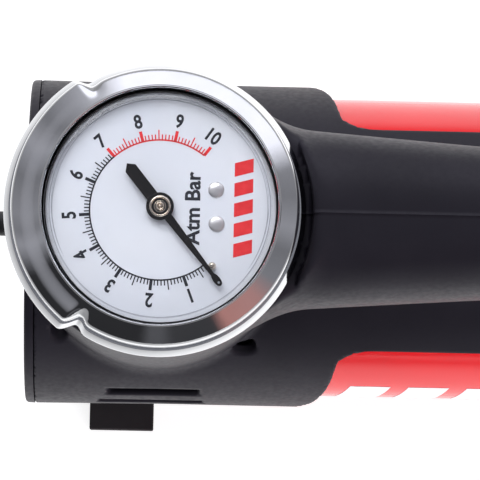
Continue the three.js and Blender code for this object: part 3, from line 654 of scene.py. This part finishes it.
def left_distance(x, y, z):
    """The left half, with the wells that the screws go in by. The pod's well has an oval mouth."""
    solid = housing_distance(x, y, z)
    for name, (screw_x, screw_z, _) in SCREWS.items():
        well = np.maximum(np.hypot(x - screw_x, z - screw_z) - SCREW_POST["well"], 4.3 - np.abs(y))
        if name == "pod":
            mouth = (np.hypot((x - screw_x) / 2.6, (z - screw_z - 0.2) / 1.3) - 1) * 1.5
            well = smooth_min(np.maximum(well, np.abs(y) - 20.5), np.maximum(mouth, 19.5 - np.abs(y)), 0.3)
        solid = smooth_max(solid, -well, 0.5)
    return solid


def gradient(field, points, step=0.04):
    columns = []
    for axis in range(3):
        offset = np.zeros(3, np.float32)
        offset[axis] = step
        ahead, behind = points + offset, points - offset
        columns.append((field(*ahead.T) - field(*behind.T)) / (2 * step))
    return np.stack(columns, 1)


def surface_net(field, low, high, step, mirror=False):
    """Vertices, quads and normals of a field's zero surface, on a grid from low to high."""
    axes = [np.arange(a, b + step, step, dtype=np.float32) for a, b in zip(low, high)]
    grid = np.empty([len(a) for a in axes], np.float32)
    for i0 in range(0, len(axes[0]), 24):
        block = np.meshgrid(axes[0][i0:i0 + 24], axes[1], axes[2], indexing="ij")
        grid[i0:i0 + 24] = field(*block)
    inside = grid < 0
    corners = [(i, j, k) for i in (0, 1) for j in (0, 1) for k in (0, 1)]
    shape = tuple(n - 1 for n in grid.shape)

    def corner(array, c):
        return array[c[0]:c[0] + shape[0], c[1]:c[1] + shape[1], c[2]:c[2] + shape[2]]

    count = sum(corner(inside, c).astype(np.int8) for c in corners)
    mixed = (count > 0) & (count < 8)
    cells = np.argwhere(mixed)
    number = np.full(shape, -1, np.int64)
    number[mixed] = np.arange(len(cells))
    total = np.zeros((len(cells), 3), np.float32)
    hits = np.zeros(len(cells), np.float32)
    for a in corners:
        for axis in range(3):
            if a[axis]:
                continue
            b = list(a)
            b[axis] = 1
            va, vb = corner(grid, a)[mixed], corner(grid, b)[mixed]
            cross = (va < 0) != (vb < 0)
            share = va[cross] / (va[cross] - vb[cross])
            crossing = np.tile(np.array(a, np.float32), (cross.sum(), 1))
            crossing[:, axis] += share
            total[cross] += crossing
            hits[cross] += 1
    points = (cells + total / hits[:, None]) * step + np.array(low, np.float32)
    for _ in range(3):
        value = field(*points.T)
        slope = gradient(field, points)
        size = np.maximum((slope ** 2).sum(1), 0.2)
        move = -slope * (value / size)[:, None]
        points = points + np.clip(move, -0.35 * step, 0.35 * step)
    normals = gradient(field, points)
    normals /= np.maximum(np.linalg.norm(normals, axis=1), 1e-6)[:, None]
    quads = []
    for axis in range(3):
        b, c = (axis + 1) % 3, (axis + 2) % 3
        near, far = [slice(None)] * 3, [slice(None)] * 3
        near[axis], far[axis] = slice(0, -1), slice(1, None)
        change = inside[tuple(near)] != inside[tuple(far)]
        edge = np.argwhere(change)
        edge = edge[(edge[:, b] > 0) & (edge[:, c] > 0)]
        edge = edge[(edge[:, b] < shape[b]) & (edge[:, c] < shape[c])]
        ring = []
        for db, dc in ((-1, -1), (0, -1), (0, 0), (-1, 0)):
            cell = edge.copy()
            cell[:, b] += db
            cell[:, c] += dc
            ring.append(number[tuple(cell.T)])
        ring = np.stack(ring, 1)
        flip = inside[tuple(edge.T)]
        ring[~flip] = ring[~flip][:, ::-1]
        quads.append(ring)
    quads = np.vstack(quads)
    if mirror:
        points, normals, quads = points * (1, -1, 1), normals * (1, -1, 1), quads[:, ::-1]
    return points, quads, normals


def net_object(name, points, quads, normals, nodes):
    mesh = bpy.data.meshes.new(name)
    mesh.vertices.add(len(points))
    mesh.vertices.foreach_set("co", place(points).astype(np.float32).ravel())
    mesh.loops.add(quads.size)
    mesh.loops.foreach_set("vertex_index", quads.astype(np.int32).ravel())
    mesh.polygons.add(len(quads))
    mesh.polygons.foreach_set("loop_start", np.arange(0, quads.size, 4, dtype=np.int32))
    mesh.update(calc_edges=True)
    mesh.validate()
    mesh.shade_smooth()
    mesh.normals_split_custom_set_from_vertices([tuple(n) for n in normals])
    return finish_piece(new_object(name, mesh), BLACK, nodes)


def make_housing():
    step = 0.85
    low, high = (-27.8, -0.55 * step, -39.8), (150.4, 37.2, 103.4)
    for side, field, mirror in (("right", housing_distance, False), ("left", left_distance, True)):
        net = surface_net(field, low, high, step, mirror)
        net_object(f"housing_shell_{side}", *net, f"housing_{side}")


make_housing()

# ---- covers, sleeve and feet


def make_front_cover():
    """A dished cap with a rounded rim and a raised ring, clipped into the front of the shells."""
    r = SHELL["outer"] + 0.3
    face, back, lip = COVER.values()
    inner = SHELL["inner"] - 0.3
    lathe("front_cover_shell", BLACK, "front_cover", [
        (0, face + 0.5, 0), (24, face + 0.5, 0.4), (25, face, 0.4), (r - 0.1, face, 1.9), (r, back, 0.12),
        (inner, back, 0.1), (inner, lip), (inner - 2, lip), (inner - 2, back + 0.4), (12, back + 0.4, 0.1),
        (0, back + 0.4, 0),
    ], 0.3, 5, 128, axis="x", closed=False)


def rear_cover_distance(x, y, z):
    """The rear cover: a chamfered disc with cooling slots, the switch opening and the gland hole."""
    radius = np.hypot(y, z)
    back, face = REAR_COVER["back"], REAR_COVER["face"]
    disc = smooth_max(radius - SHELL["outer"], np.maximum(back - x, x - face), 1.6)
    lip = np.maximum(np.abs(radius - 32.6) - 1.0, np.maximum(REAR_COVER["lip"] - x, x - face + 0.8))
    solid = smooth_min(disc, lip, 0.4)
    inner, outer, half, pitch = 12, 28, 1.5, 7
    for row in range(-2, 3):
        reach = math.sqrt(outer ** 2 - (row * pitch) ** 2)
        along = np.abs(np.abs(y) - (inner + reach) / 2) - (reach - inner) / 2 + half
        solid = smooth_max(solid, half - np.hypot(np.maximum(along, 0), z - row * pitch), 0.7)
    rocker_hole = np.maximum(np.abs(y) - 6.6, np.abs(z - SWITCH_Z) - 9.6)
    gland_hole = np.hypot(y, z - GLAND_Z) - 4.3
    return smooth_max(solid, -np.minimum(rocker_hole, gland_hole), 0.3)


def make_rear_cover():
    step = 0.55
    net = surface_net(rear_cover_distance, (145, -37, -37), (152.6, 37, 37), step)
    net_object("rear_cover_panel", *net, "rear_cover")


def make_sleeve():
    box_low, box_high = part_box("sleeve")
    front, rear = box_low.x / MM - GAUGE_X, box_high.x / MM - GAUGE_X
    outer = box_high.y / MM
    profile = [(outer - 1.2, front), (outer, front), (outer, rear), (outer - 1.2, rear)]
    lathe("red_sleeve", RED, "sleeve", profile, 0.3, 3, 192, axis="x")
    return outer


def make_flank_print(radius):
    """A generic mark in white on the left flank: five slanted bars, wrapped round the sleeve."""
    bar, rows, shapes = FLANK_BARS, 12, []
    for number in range(bar["count"]):
        points, faces = [], []
        for lift in (0.0, 0.05):
            for i in range(rows + 1):
                angle = math.radians(bar["top"] + bar["sweep"] * i / rows)
                start = bar["start"] + number * bar["pitch"] + bar["slant"] * i / rows
                for x in (start, start + bar["width"]):
                    r = radius + lift + 0.01
                    points.append((x, -r * math.sin(angle), r * math.cos(angle)))
        top = 2 * (rows + 1)
        for i in range(rows):
            a, b, c, d = 2 * i, 2 * i + 1, 2 * i + 3, 2 * i + 2
            faces += [(a, b, c, d), (top + a, top + d, top + c, top + b)]
            faces += [(a, d, top + d, top + a), (b, top + b, top + c, c)]
        last = 2 * rows
        faces += [(0, top, top + 1, 1), (last, last + 1, top + last + 1, top + last)]
        shapes.append((points, faces))
    finish_piece(mesh_object("flank_marks", *gathered(shapes)), WHITE_INK)


def make_feet():
    """Square rubber feet with a rounded-over edge and three grip grooves underneath."""
    top, groove, half = GROUND + FOOT["height"], GROUND + 1.0, FOOT["length"] / 2
    outline = [(FOOT["inner"], top), (FOOT["inner"], GROUND)]
    for y in (27, 31.6, 36.2):
        outline += [(y - 0.9, GROUND), (y - 0.6, groove), (y + 0.6, groove), (y + 0.9, GROUND)]
    outline += [(FOOT["outer"], GROUND), (FOOT["outer"], top)]
    for end in ("front", "rear"):
        points, faces = prism(outline, FOOT[f"{end}_x"] - half, FOOT[f"{end}_x"] + half)
        for side_name, side in (("left", -1), ("right", 1)):
            sided = [(x, side * y, z) for y, z, x in points]
            foot = mesh_object(f"rubber_foot_{end}_{side_name}", sided, faces)
            soften(foot, 0.35, 2)
            finish_piece(foot, RUBBER, f"foot_{end}_{side_name}")


make_front_cover()
make_rear_cover()
make_flank_print(make_sleeve())
make_feet()

# ---- gauge


def bezel_reach(angle):
    """How far the rim stands out of round: the lifting wing at the front, with a notch each side."""
    turn = (math.degrees(angle) + 180) % 360 - 180
    away, depth = (turn + 4.6, 0.3) if turn > 0 else (-turn, 1.0)
    dip = -depth * math.exp(-((away - BEZEL["notch"]) / BEZEL["notch_width"]) ** 2)
    wing = smooth_step((away - BEZEL["wing_start"]) / BEZEL["wing_rise"])
    return dip * (1 - wing) + (BEZEL["wing"] - BEZEL["rim"]) * wing


def make_bezel():
    """Pressed chrome ring: a rolled flange, a crease, a broad crowned band and a turned-in lip."""
    rim, base, hole = BEZEL["rim"], BEZEL["base"], BEZEL["opening"]
    profile = [
        (26.2, base), (rim - 0.5, base), (rim, base + 0.5, 0.4), (rim, 98.5, 0.5), (28.15, 100.75, 0.35),
        (27.95, 100.6, 0.1), (27.75, 101.0, 0.2), (27.6, 107.2, 0.5), (27.2, 107.95), (26.2, 108.87, 0.8),
        (25.0, 109.75, 0.8), (23.95, 110.42), (hole + 0.3, 110.85, 0.25), (hole, 110.4, 0.25),
        (hole, 106.3, 0.2), (25.2, 106.3), (25.5, 101.5, 0.5),
    ]

    def shape(r, h, angle):
        return r + bezel_reach(angle) * smooth_step((r - 24.3) / 3.0)

    lathe("chrome_bezel", CHROME, "gauge_bezel", profile, 0.3, 5, 480, shape=shape)


def make_gauge_glass():
    seal = [(22.72, 107.4), (23.0, 107.4), (23.0, 109.6), (22.72, 109.6)]
    lathe("lens_seal", GASKET, "lens_gasket", seal, 0.12, 4, 160, centre=(0.17, -0.17, 0))
    lathe("gauge_glass", LENS, "gauge_lens", [
        (0, 109.55, 0), (21.2, 109.55), (22.15, 108.9), (22.15, 109.3), (21.35, 110.2, 0.25), (0, 110.25, 0),
    ], 0.1, 4, 160, closed=False)


PRINT = (DIAL_FACE + 0.01, DIAL_FACE + 0.04)  # the ink's underside and top


def scale_angle(value):
    return math.radians(-69.3 - 26.5 * (value - 1))


def bar_on_dial(angle, r0, r1, width):
    """A printed stroke from radius r0 to r1."""
    along = np.array((math.cos(angle), math.sin(angle)))
    side = np.array((-along[1], along[0])) * width / 2
    corners = [along * r0 - side, along * r1 - side, along * r1 + side, along * r0 + side]
    return prism([(x, y + SCALE_SHIFT) for x, y in corners], *PRINT)


def arc_on_dial(start, end, r0, r1, steps):
    """A printed arc, its flats made of quads."""
    angles = np.linspace(start, end, steps + 1)
    outline = [(r1 * math.cos(a), r1 * math.sin(a) + SCALE_SHIFT) for a in angles]
    outline += [(r0 * math.cos(a), r0 * math.sin(a) + SCALE_SHIFT) for a in angles[::-1]]
    n = len(outline)
    points, faces = prism(outline, *PRINT)
    faces = faces[2:]
    for i in range(steps):
        j = n - 2 - i
        faces += [(i, i + 1, j, j + 1), (n + j + 1, n + j, n + i + 1, n + i)]
    return points, faces


def make_scale():
    """Tenths of a bar from 0.3 to 10, black up to 7 and red from there, on a thin arc."""
    shapes = {"black": [], "red": []}
    for tenth in range(3, 101):
        reach, width = (15.95, 0.60) if tenth % 10 == 0 else (15.85 if tenth % 5 == 0 else 14.95, 0.24)
        shape = shapes["red" if tenth >= 70 else "black"]
        shape.append(bar_on_dial(scale_angle(tenth / 10), 13.85, reach, width))
    for name, ink, start, end, steps in (("black", INK, 0.3, 7, 110), ("red", RED_INK, 7, 10, 60)):
        shapes[name].append(arc_on_dial(scale_angle(start), scale_angle(end), 13.70, 14.00, steps))
        finish_piece(mesh_object(f"dial_scale_{name}", *gathered(shapes[name]), smooth=False), ink)


def lettering(text, height, squeeze, centre, turn, weight):
    """One flat text as a mesh, its middle at centre (x, y) and turned by an angle."""
    curve = bpy.data.curves.new("text", "FONT")
    curve.body = text
    curve.size = 1.0
    curve.align_x, curve.align_y = "CENTER", "CENTER"
    curve.extrude = 0.01
    curve.bevel_depth = weight
    curve.bevel_resolution = 0
    curve.resolution_u = 4
    scratch = new_object("text", curve)
    mesh = evaluated(scratch)
    points = np.array([v.co for v in mesh.vertices])
    faces = [tuple(p.vertices) for p in mesh.polygons]
    bpy.data.objects.remove(scratch)
    bpy.data.meshes.remove(mesh)
    points[:, :2] -= (points[:, :2].max(0) + points[:, :2].min(0)) / 2
    scale = height / (points[:, 1].max() - points[:, 1].min())
    points[:, 0] *= scale * squeeze
    points[:, 1] *= scale
    x, y = swung(points[:, 0], points[:, 1], turn, centre)
    return np.stack([x, y, np.where(points[:, 2] > 0, PRINT[1], PRINT[0])], 1), faces


def make_numerals():
    """Numerals 1 to 10 with their tops outward, and the unit reading along the dial's right."""
    shapes = []
    for value in range(1, 11):
        angle = scale_angle(value) if value < 10 else scale_angle(9.9)
        centre = (17.95 * math.cos(angle), 17.95 * math.sin(angle) + SCALE_SHIFT)
        shapes.append(lettering(str(value), 2.85, 0.84, centre, angle - TAU / 4, 0.028))
    shapes.append(lettering("Atm Bar", 3.1, 1.0, (6.4, -0.2), TAU / 4, 0.026))
    finish_piece(mesh_object("dial_numerals", *gathered(shapes), smooth=False), INK)


def make_dial_marks():
    """The generic red mark, five slanted blocks in a row, and the thin grey circle round the dial."""
    shapes = []
    for block in range(5):
        y = -8.0 + block * 4.0
        outline = [(14.6, y - 1.75), (18.3, y - 0.75), (18.3, y + 1.95), (14.6, y + 0.95)]
        shapes.append(prism(outline, *PRINT))
    blocks = mesh_object("dial_marks_red", *gathered(shapes), smooth=False)
    soften(blocks, 0.012, 1)
    finish_piece(blocks, RED_INK)
    low, high = PRINT
    circle = turned("dial_circle", [(21.22, low), (21.40, low), (21.40, high), (21.22, high)], 160)
    finish_piece(circle, GREY_INK)


def make_dial():
    top, bottom, outer = DIAL_FACE, DIAL_FACE - 0.7, 23.0
    face = [(1.2, bottom, 0.05), (outer, bottom), (outer, top, 0.15), (1.2, top)]
    lathe("dial_face", DIAL, "dial_plate", face, 0.1, 3, 160)
    wide, edge, dome = 1.6, 0.1, 0.55
    crown = [(0, top), (wide, top), (wide, top + edge)]
    crown += [(wide * math.cos(a), top + edge + dome * math.sin(a)) for a in np.linspace(0.12, 1.5, 10)]
    crown += [(0, top + edge + dome)]
    for name, centre in (("upper", (11.0, 3.58, 0)), ("lower", (11.23, -3.14, 0))):
        finish_piece(turned(f"dial_rivet_{name}", crown, 48, centre=centre, closed=False), PEARL)


def pointer_outline():
    """The needle: a house-shaped tail, a bar that narrows to its far end, and a small paddle."""
    side = [(-10.7, 0.0), (-9.5, 1.25), (-2.0, 1.25), (2.0, 0.86), (9.5, 0.62), (16.9, 0.38), (17.5, 0.62),
            (18.2, 0.72), (19.0, 0.66), (19.5, 0.45), (19.75, 0.0)]
    return side + [(x, -y) for x, y in side[-2:0:-1]]


def make_pointer():
    turn = math.radians(POINTER_REST)
    points, faces = prism(pointer_outline(), 108.15, 108.55)
    needle = mesh_object("gauge_needle", [(*swung(x, y, turn), z) for x, y, z in points], faces)
    eye = turned("needle_eye_cut", [(0, 107.9), (0.24, 107.9), (0.24, 108.9), (0, 108.9)], 20, closed=False,
                 centre=(*swung(18.95, 0, turn), 0))
    cut = needle.modifiers.new("eye", "BOOLEAN")
    cut.object, cut.operation, cut.solver = eye, "DIFFERENCE", "EXACT"
    bpy.context.view_layer.update()
    pierced = evaluated(needle)
    needle.modifiers.clear()
    needle.data = pierced
    bpy.data.objects.remove(eye)
    soften(needle, 0.06, 2)
    finish_piece(needle, POINTER, "pointer", "pointer")
    hub = [(1.2, 107.95), (2.75, 107.95, 0.2), (2.75, 108.85, 0.25), (1.2, 108.95)]
    lathe("needle_hub", POINTER, (), hub, 0.1, 4, 72, "pointer")
    lathe("hub_cap", HUB_BRASS, (), [
        (0, 108.3, 0), (2.15, 108.3, 0.05), (2.15, 109.2, 0.35), (1.75, 109.38, 0.3), (1.45, 108.75, 0.15),
        (1.0, 108.75, 0.15), (0.85, 109.3), (0.55, 109.3, 0.15), (0.40, 108.9, 0.1), (0.25, 109.3, 0.1),
        (0, 109.34, 0),
    ], 0.2, 4, 72, "pointer", closed=False)
    arbor = carried("pointer_arbor", BRASS, 0.06)
    whole = bmesh.new()
    whole.from_mesh(arbor.data)
    bmesh.ops.bisect_plane(whole, geom=whole.verts[:] + whole.edges[:] + whole.faces[:],
                           plane_co=place((0, 0, 108.6)), plane_no=(0, 0, 1), clear_outer=True)
    bmesh.ops.holes_fill(whole, edges=[e for e in whole.edges if e.is_boundary])
    whole.to_mesh(arbor.data)
    whole.free()


def make_stop_pin():
    lathe("needle_stop", HUB_BRASS, "stop_pin", [
        (0, DIAL_FACE, 0), (0.8, DIAL_FACE, 0.02), (0.8, DIAL_FACE + 0.35, 0.2), (0.5, DIAL_FACE + 0.7),
        (0.5, DIAL_FACE + 1.75), (0, DIAL_FACE + 1.85, 0),
    ], 0.15, 3, 40, centre=(10.5, -11.5, 0), closed=False)


make_bezel()
make_gauge_glass()
make_dial()
make_scale()
make_numerals()
make_dial_marks()
make_pointer()
make_stop_pin()

# ---- rear panel, outlet and chuck


def make_rear_fittings():
    gland = turned("cord_gland_collar", [(r, x) for x, r in rounded([
        (147, 2.6), (147, 4.0), (151.7, 4.0), (151.7, 6.4, 0.3), (153, 6.3, 0.4), (153.4, 5.2, 0.3),
        (154.2, 5.1), (154.4, 4.6), (155.2, 4.6), (155.4, 5.0), (156.0, 4.9), (156.2, 4.3), (157.3, 4.2, 0.4),
        (157.3, 2.6, 0.3)], 0.2, 3)], 72, "x", (0, 0, GLAND_Z))
    finish_piece(gland, RUBBER, "cord_gland")
    carried("switch_body", BLACK, 0.45)
    carried("switch_rocker", NYLON, 0.40)


def make_outlet():
    carried("hose_grommet", RUBBER, 0.30)
    carried("hose_fitting", BRASS, 0.20)


def rings(start, count, radius, pitch=1.5, depth=0.5):
    """Profile points of a row of grip rings along a turned body."""
    out = []
    for i in range(count):
        h = start + i * pitch
        out += [(radius, h, 0.15), (radius - depth, h + 0.3 * pitch), (radius - depth, h + 0.6 * pitch)]
    return out


def make_chuck():
    """The push-on chuck: a ribbed barrel with a rubber-lined mouth, and the thumb lever on its lug."""
    low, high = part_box("chuck_body")
    axis_x = (low.x + high.x) / 2 / MM - GAUGE_X
    radius = (high.x - low.x) / 2 / MM
    axis_z = low.z / MM + radius - MOTOR_Z
    tail, length = low.y / MM, (high.y - low.y) / MM
    centre = (axis_x, tail, axis_z)
    bore = length - 15
    nose = [(0, 0, 0), (2.4, 0, 0.3), (2.4, 4.0, 0.8), (4.4, 5.5, 0.8), (5.8, 10, 1.5), (radius, 14, 1.2)]
    middle_part = [(radius, 19.8), (radius, 30.2)]
    mouth = [(radius, 36.8), (radius, length - 1.2, 0.5), (radius - 1.0, length, 0.5), (4.4, length, 0.4),
             (4.4, bore), (1.5, bore, 0.1), (0, bore, 0)]
    profile = nose + rings(15.2, 3, radius) + middle_part + rings(30.6, 4, radius) + mouth
    how = dict(axis="y", centre=centre)
    barrel = lathe("chuck_barrel", BLACK, "chuck_body", profile, 0.2, 3, 96, closed=False, **how)
    inner, outer = length - 6, length - 1.2
    lining = [(2.7, inner), (4.3, inner), (4.3, outer), (3.3, outer)]
    seal = lathe("chuck_seal", GASKET, (), lining, 0.4, 3, 64, **how)
    cheeks = []
    for side in (-1, 1):
        outline = [(20.2, 5.5), (28.8, 5.5), (28.8, 8.2), (27.9, 9.1), (21.1, 9.1), (20.2, 8.2)]
        points, faces = prism(outline, 1.65, 2.55)
        cheeks.append(([(axis_x + side * x, tail + h, axis_z + z) for h, z, x in points], faces))
    lug = soften(mesh_object("chuck_lug", *gathered(cheeks)), 0.2, 2)
    finish_piece(lug, BLACK)
    return [barrel, seal, lug, carried("chuck_lever", NYLON, 0.55)]


def make_coil_clip():
    """A plastic clip that holds the turns of the hose coil together, open underneath."""
    low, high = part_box("hose_coil")
    centre = np.array(((low.x + high.x) / 2, (low.y + high.y) / 2)) / MM - (GAUGE_X, 0)
    inner, outer, top, foot, wall = COIL_RADIUS - 5.5, COIL_RADIUS + 5.5, 10.0, 0.3, 0.9
    outline = rounded([
        (inner, foot), (inner, top, 2.2), (outer, top, 2.2), (outer, foot), (outer - wall, foot),
        (outer - wall, top - wall, 1.6), (inner + wall, top - wall, 1.6), (inner + wall, foot)], 0.2, 5)
    points, faces = prism(outline, -3.5, 3.5)
    n = len(outline)
    faces = faces[2:]
    for base in (0, n):
        faces += [(base + i, base + i + 1, base + n - 2 - i, base + n - 1 - i) for i in range(n // 2 - 1)]
    turn = math.radians(165)
    points = [(*swung(r, w, turn, centre), z + GROUND) for r, z, w in points]
    clip = soften(mesh_object("coil_clip", points, faces), 0.15, 2)
    return finish_piece(clip, NYLON)


def make_valve_spring():
    """The outlet valve's coil spring, at rest: the real spring flattens as the valve plate lifts, but this
    mesh stays as it is.
    """
    turns, steps, sides, wire, reach = 4.5, 216, 10, 0.35, 3.0
    foot, top = 51.75 + wire, 56.95 - wire
    points = []
    for i in range(steps + 1):
        angle = TAU * turns * i / steps
        height = foot + (top - foot) * smooth_step(i / steps)
        for k in range(sides):
            a = TAU * k / sides
            r = reach + wire * math.cos(a)
            points.append((r * math.cos(angle), r * math.sin(angle), height + wire * math.sin(a)))
    near = [(i * sides + k, i * sides + (k + 1) % sides) for i in range(steps) for k in range(sides)]
    faces = [(a, a + sides, b + sides, b) for a, b in near]
    faces += [tuple(range(sides)), tuple(steps * sides + k for k in range(sides))[::-1]]
    spring = finish_piece(mesh_object("valve_spring_coil", points, faces), STEEL, "outlet_spring")
    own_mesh(spring)


make_rear_fittings()
make_outlet()
make_valve_spring()
hose_pieces = make_chuck() + [make_coil_clip()]

# ---- pieces carried over from the CAD

CARRIED = {
    CAST: "crankcase cylinder cylinder_head piston connecting_rod motor_front_bell",
    STEEL: "outlet_valve wrist_pin crank_pin motor_shaft crank_disc",
    ZINC: "motor_can gauge_case housing_screw_pod housing_screw_nose housing_screw_grip housing_screw_rear",
    BRASS: "front_bearing rear_bearing gauge_stem bourdon_tube movement_plate sector_gear",
    COPPER: "armature commutator",
    FERRITE: "magnet_upper magnet_lower",
    GRAPHITE: "brush_left brush_right piston_ring",
    BLACK: "motor_rear_bell cooling_fan",
}
for material, names in CARRIED.items():
    for name in names.split():
        carried(name, material)

# ---- light and floor


def make_world():
    """Soft studio surroundings: dim overhead, with light and dark cards round the horizon."""
    world = bpy.data.worlds.new("studio")
    bpy.context.scene.world = world
    sky = Tree(world, "Generated")

    def cool(stops):
        """Stops whose plain greys take a slight blue cast."""
        return [(where, v if isinstance(v, tuple) else (v * 0.98, v * 0.98, v * 1.08)) for where, v in stops]

    split = sky.add("ShaderNodeSeparateXYZ")
    sky.link(sky.space, split.inputs[0])
    around = sky.add("ShaderNodeMath", "ARCTAN2")
    sky.link(split.outputs["Y"], around.inputs[0])
    sky.link(split.outputs["X"], around.inputs[1])
    share = sky.add("ShaderNodeMath", "MULTIPLY_ADD")
    sky.link(around.outputs[0], share.inputs[0])
    share.inputs[1].default_value, share.inputs[2].default_value = 1 / TAU, 0.5
    cards = [(-180, 0.26), (-174, 0.22), (-168, 0.34), (-160, 0.14), (-155, 0.03), (-98, 0.03), (-93, 0.10),
             (-88, 0.10), (-82, 0.05), (-62, 0.05), (-56, (0.50, 0.24, 0.22)), (-38, (0.46, 0.25, 0.24)),
             (-28, 0.24), (-14, 0.19), (-3, 0.34), (10, 0.22), (22, 0.28), (34, 1.25), (106, 1.30),
             (116, 0.62), (127, 0.36), (139, 0.21), (150, 0.38), (163, 0.20), (180, 0.28)]
    horizon = sky.ramp(share.outputs[0], cool((angle / 360 + 0.5, value) for angle, value in cards))
    overhead = sky.ramp(split.outputs["Z"], cool([(0.5, 0.55), (1.0, 0.28)]))
    height = sky.ramp(split.outputs["Z"], cool([(0.64, 0.0), (0.84, 1.0)]))
    mix = sky.add("ShaderNodeMixRGB")
    for source, socket in zip((height, horizon, overhead), mix.inputs):
        sky.link(source, socket)
    sky.link(mix.outputs[0], sky.tree.nodes["Background"].inputs["Color"])
    sky.fill(sky.tree.nodes["Background"], dict(Strength=1.0))


def area_light(name, where, aim, size, watts):
    """A soft box that shiny surfaces don't mirror."""
    data = bpy.data.lights.new(name, "AREA")
    data.shape, data.energy = "RECTANGLE", watts
    data.size, data.size_y = size
    lamp = new_object(name, data)
    lamp.location = where
    lamp.rotation_mode = "QUATERNION"
    lamp.rotation_quaternion = (Vector(aim) - Vector(where)).to_track_quat("-Z", "Y")
    lamp.visible_glossy = False


def make_floor():
    """A pale table that glows: a painted pool of light, brightest round the object, that falls off to light
    grey away from it.
    """
    mesh = bpy.data.meshes.new("floor")
    mesh.from_pydata([(-3, -3, 0), (3, -3, 0), (3, 3, 0), (-3, 3, 0)], [], [(0, 1, 2, 3)])
    m = Nodes("pale_table", None)
    distance = m.add("ShaderNodeVectorMath", "LENGTH")
    m.link(m.space, distance.inputs[0])
    # Painted light: both the colour and the glow are brightest round the object and fall off away from it.
    m.link(m.ramp(distance.outputs["Value"], ((0.16, 0.60), (0.34, 0.30))), m.shader.inputs["Base Color"])
    m.link(m.ramp(distance.outputs["Value"], ((0.20, 0.80), (0.36, 0.15))), m.shader.inputs["Emission Color"])
    m.fill(m.shader, dict(Roughness=0.75, Specular_IOR_Level=0.2, Emission_Strength=1.0))
    mesh.materials.append(m.material)
    new_object("floor", mesh)


make_world()
make_floor()
area_light("key", (-0.25, 0.55, 0.75), (-0.04, 0, 0.08), (0.7, 0.5), 4.8)
area_light("fill", (0.30, -0.80, 0.16), (0.0, 0, 0.03), (0.8, 0.4), 8.5)
bpy.context.scene.view_settings.view_transform = "Standard"
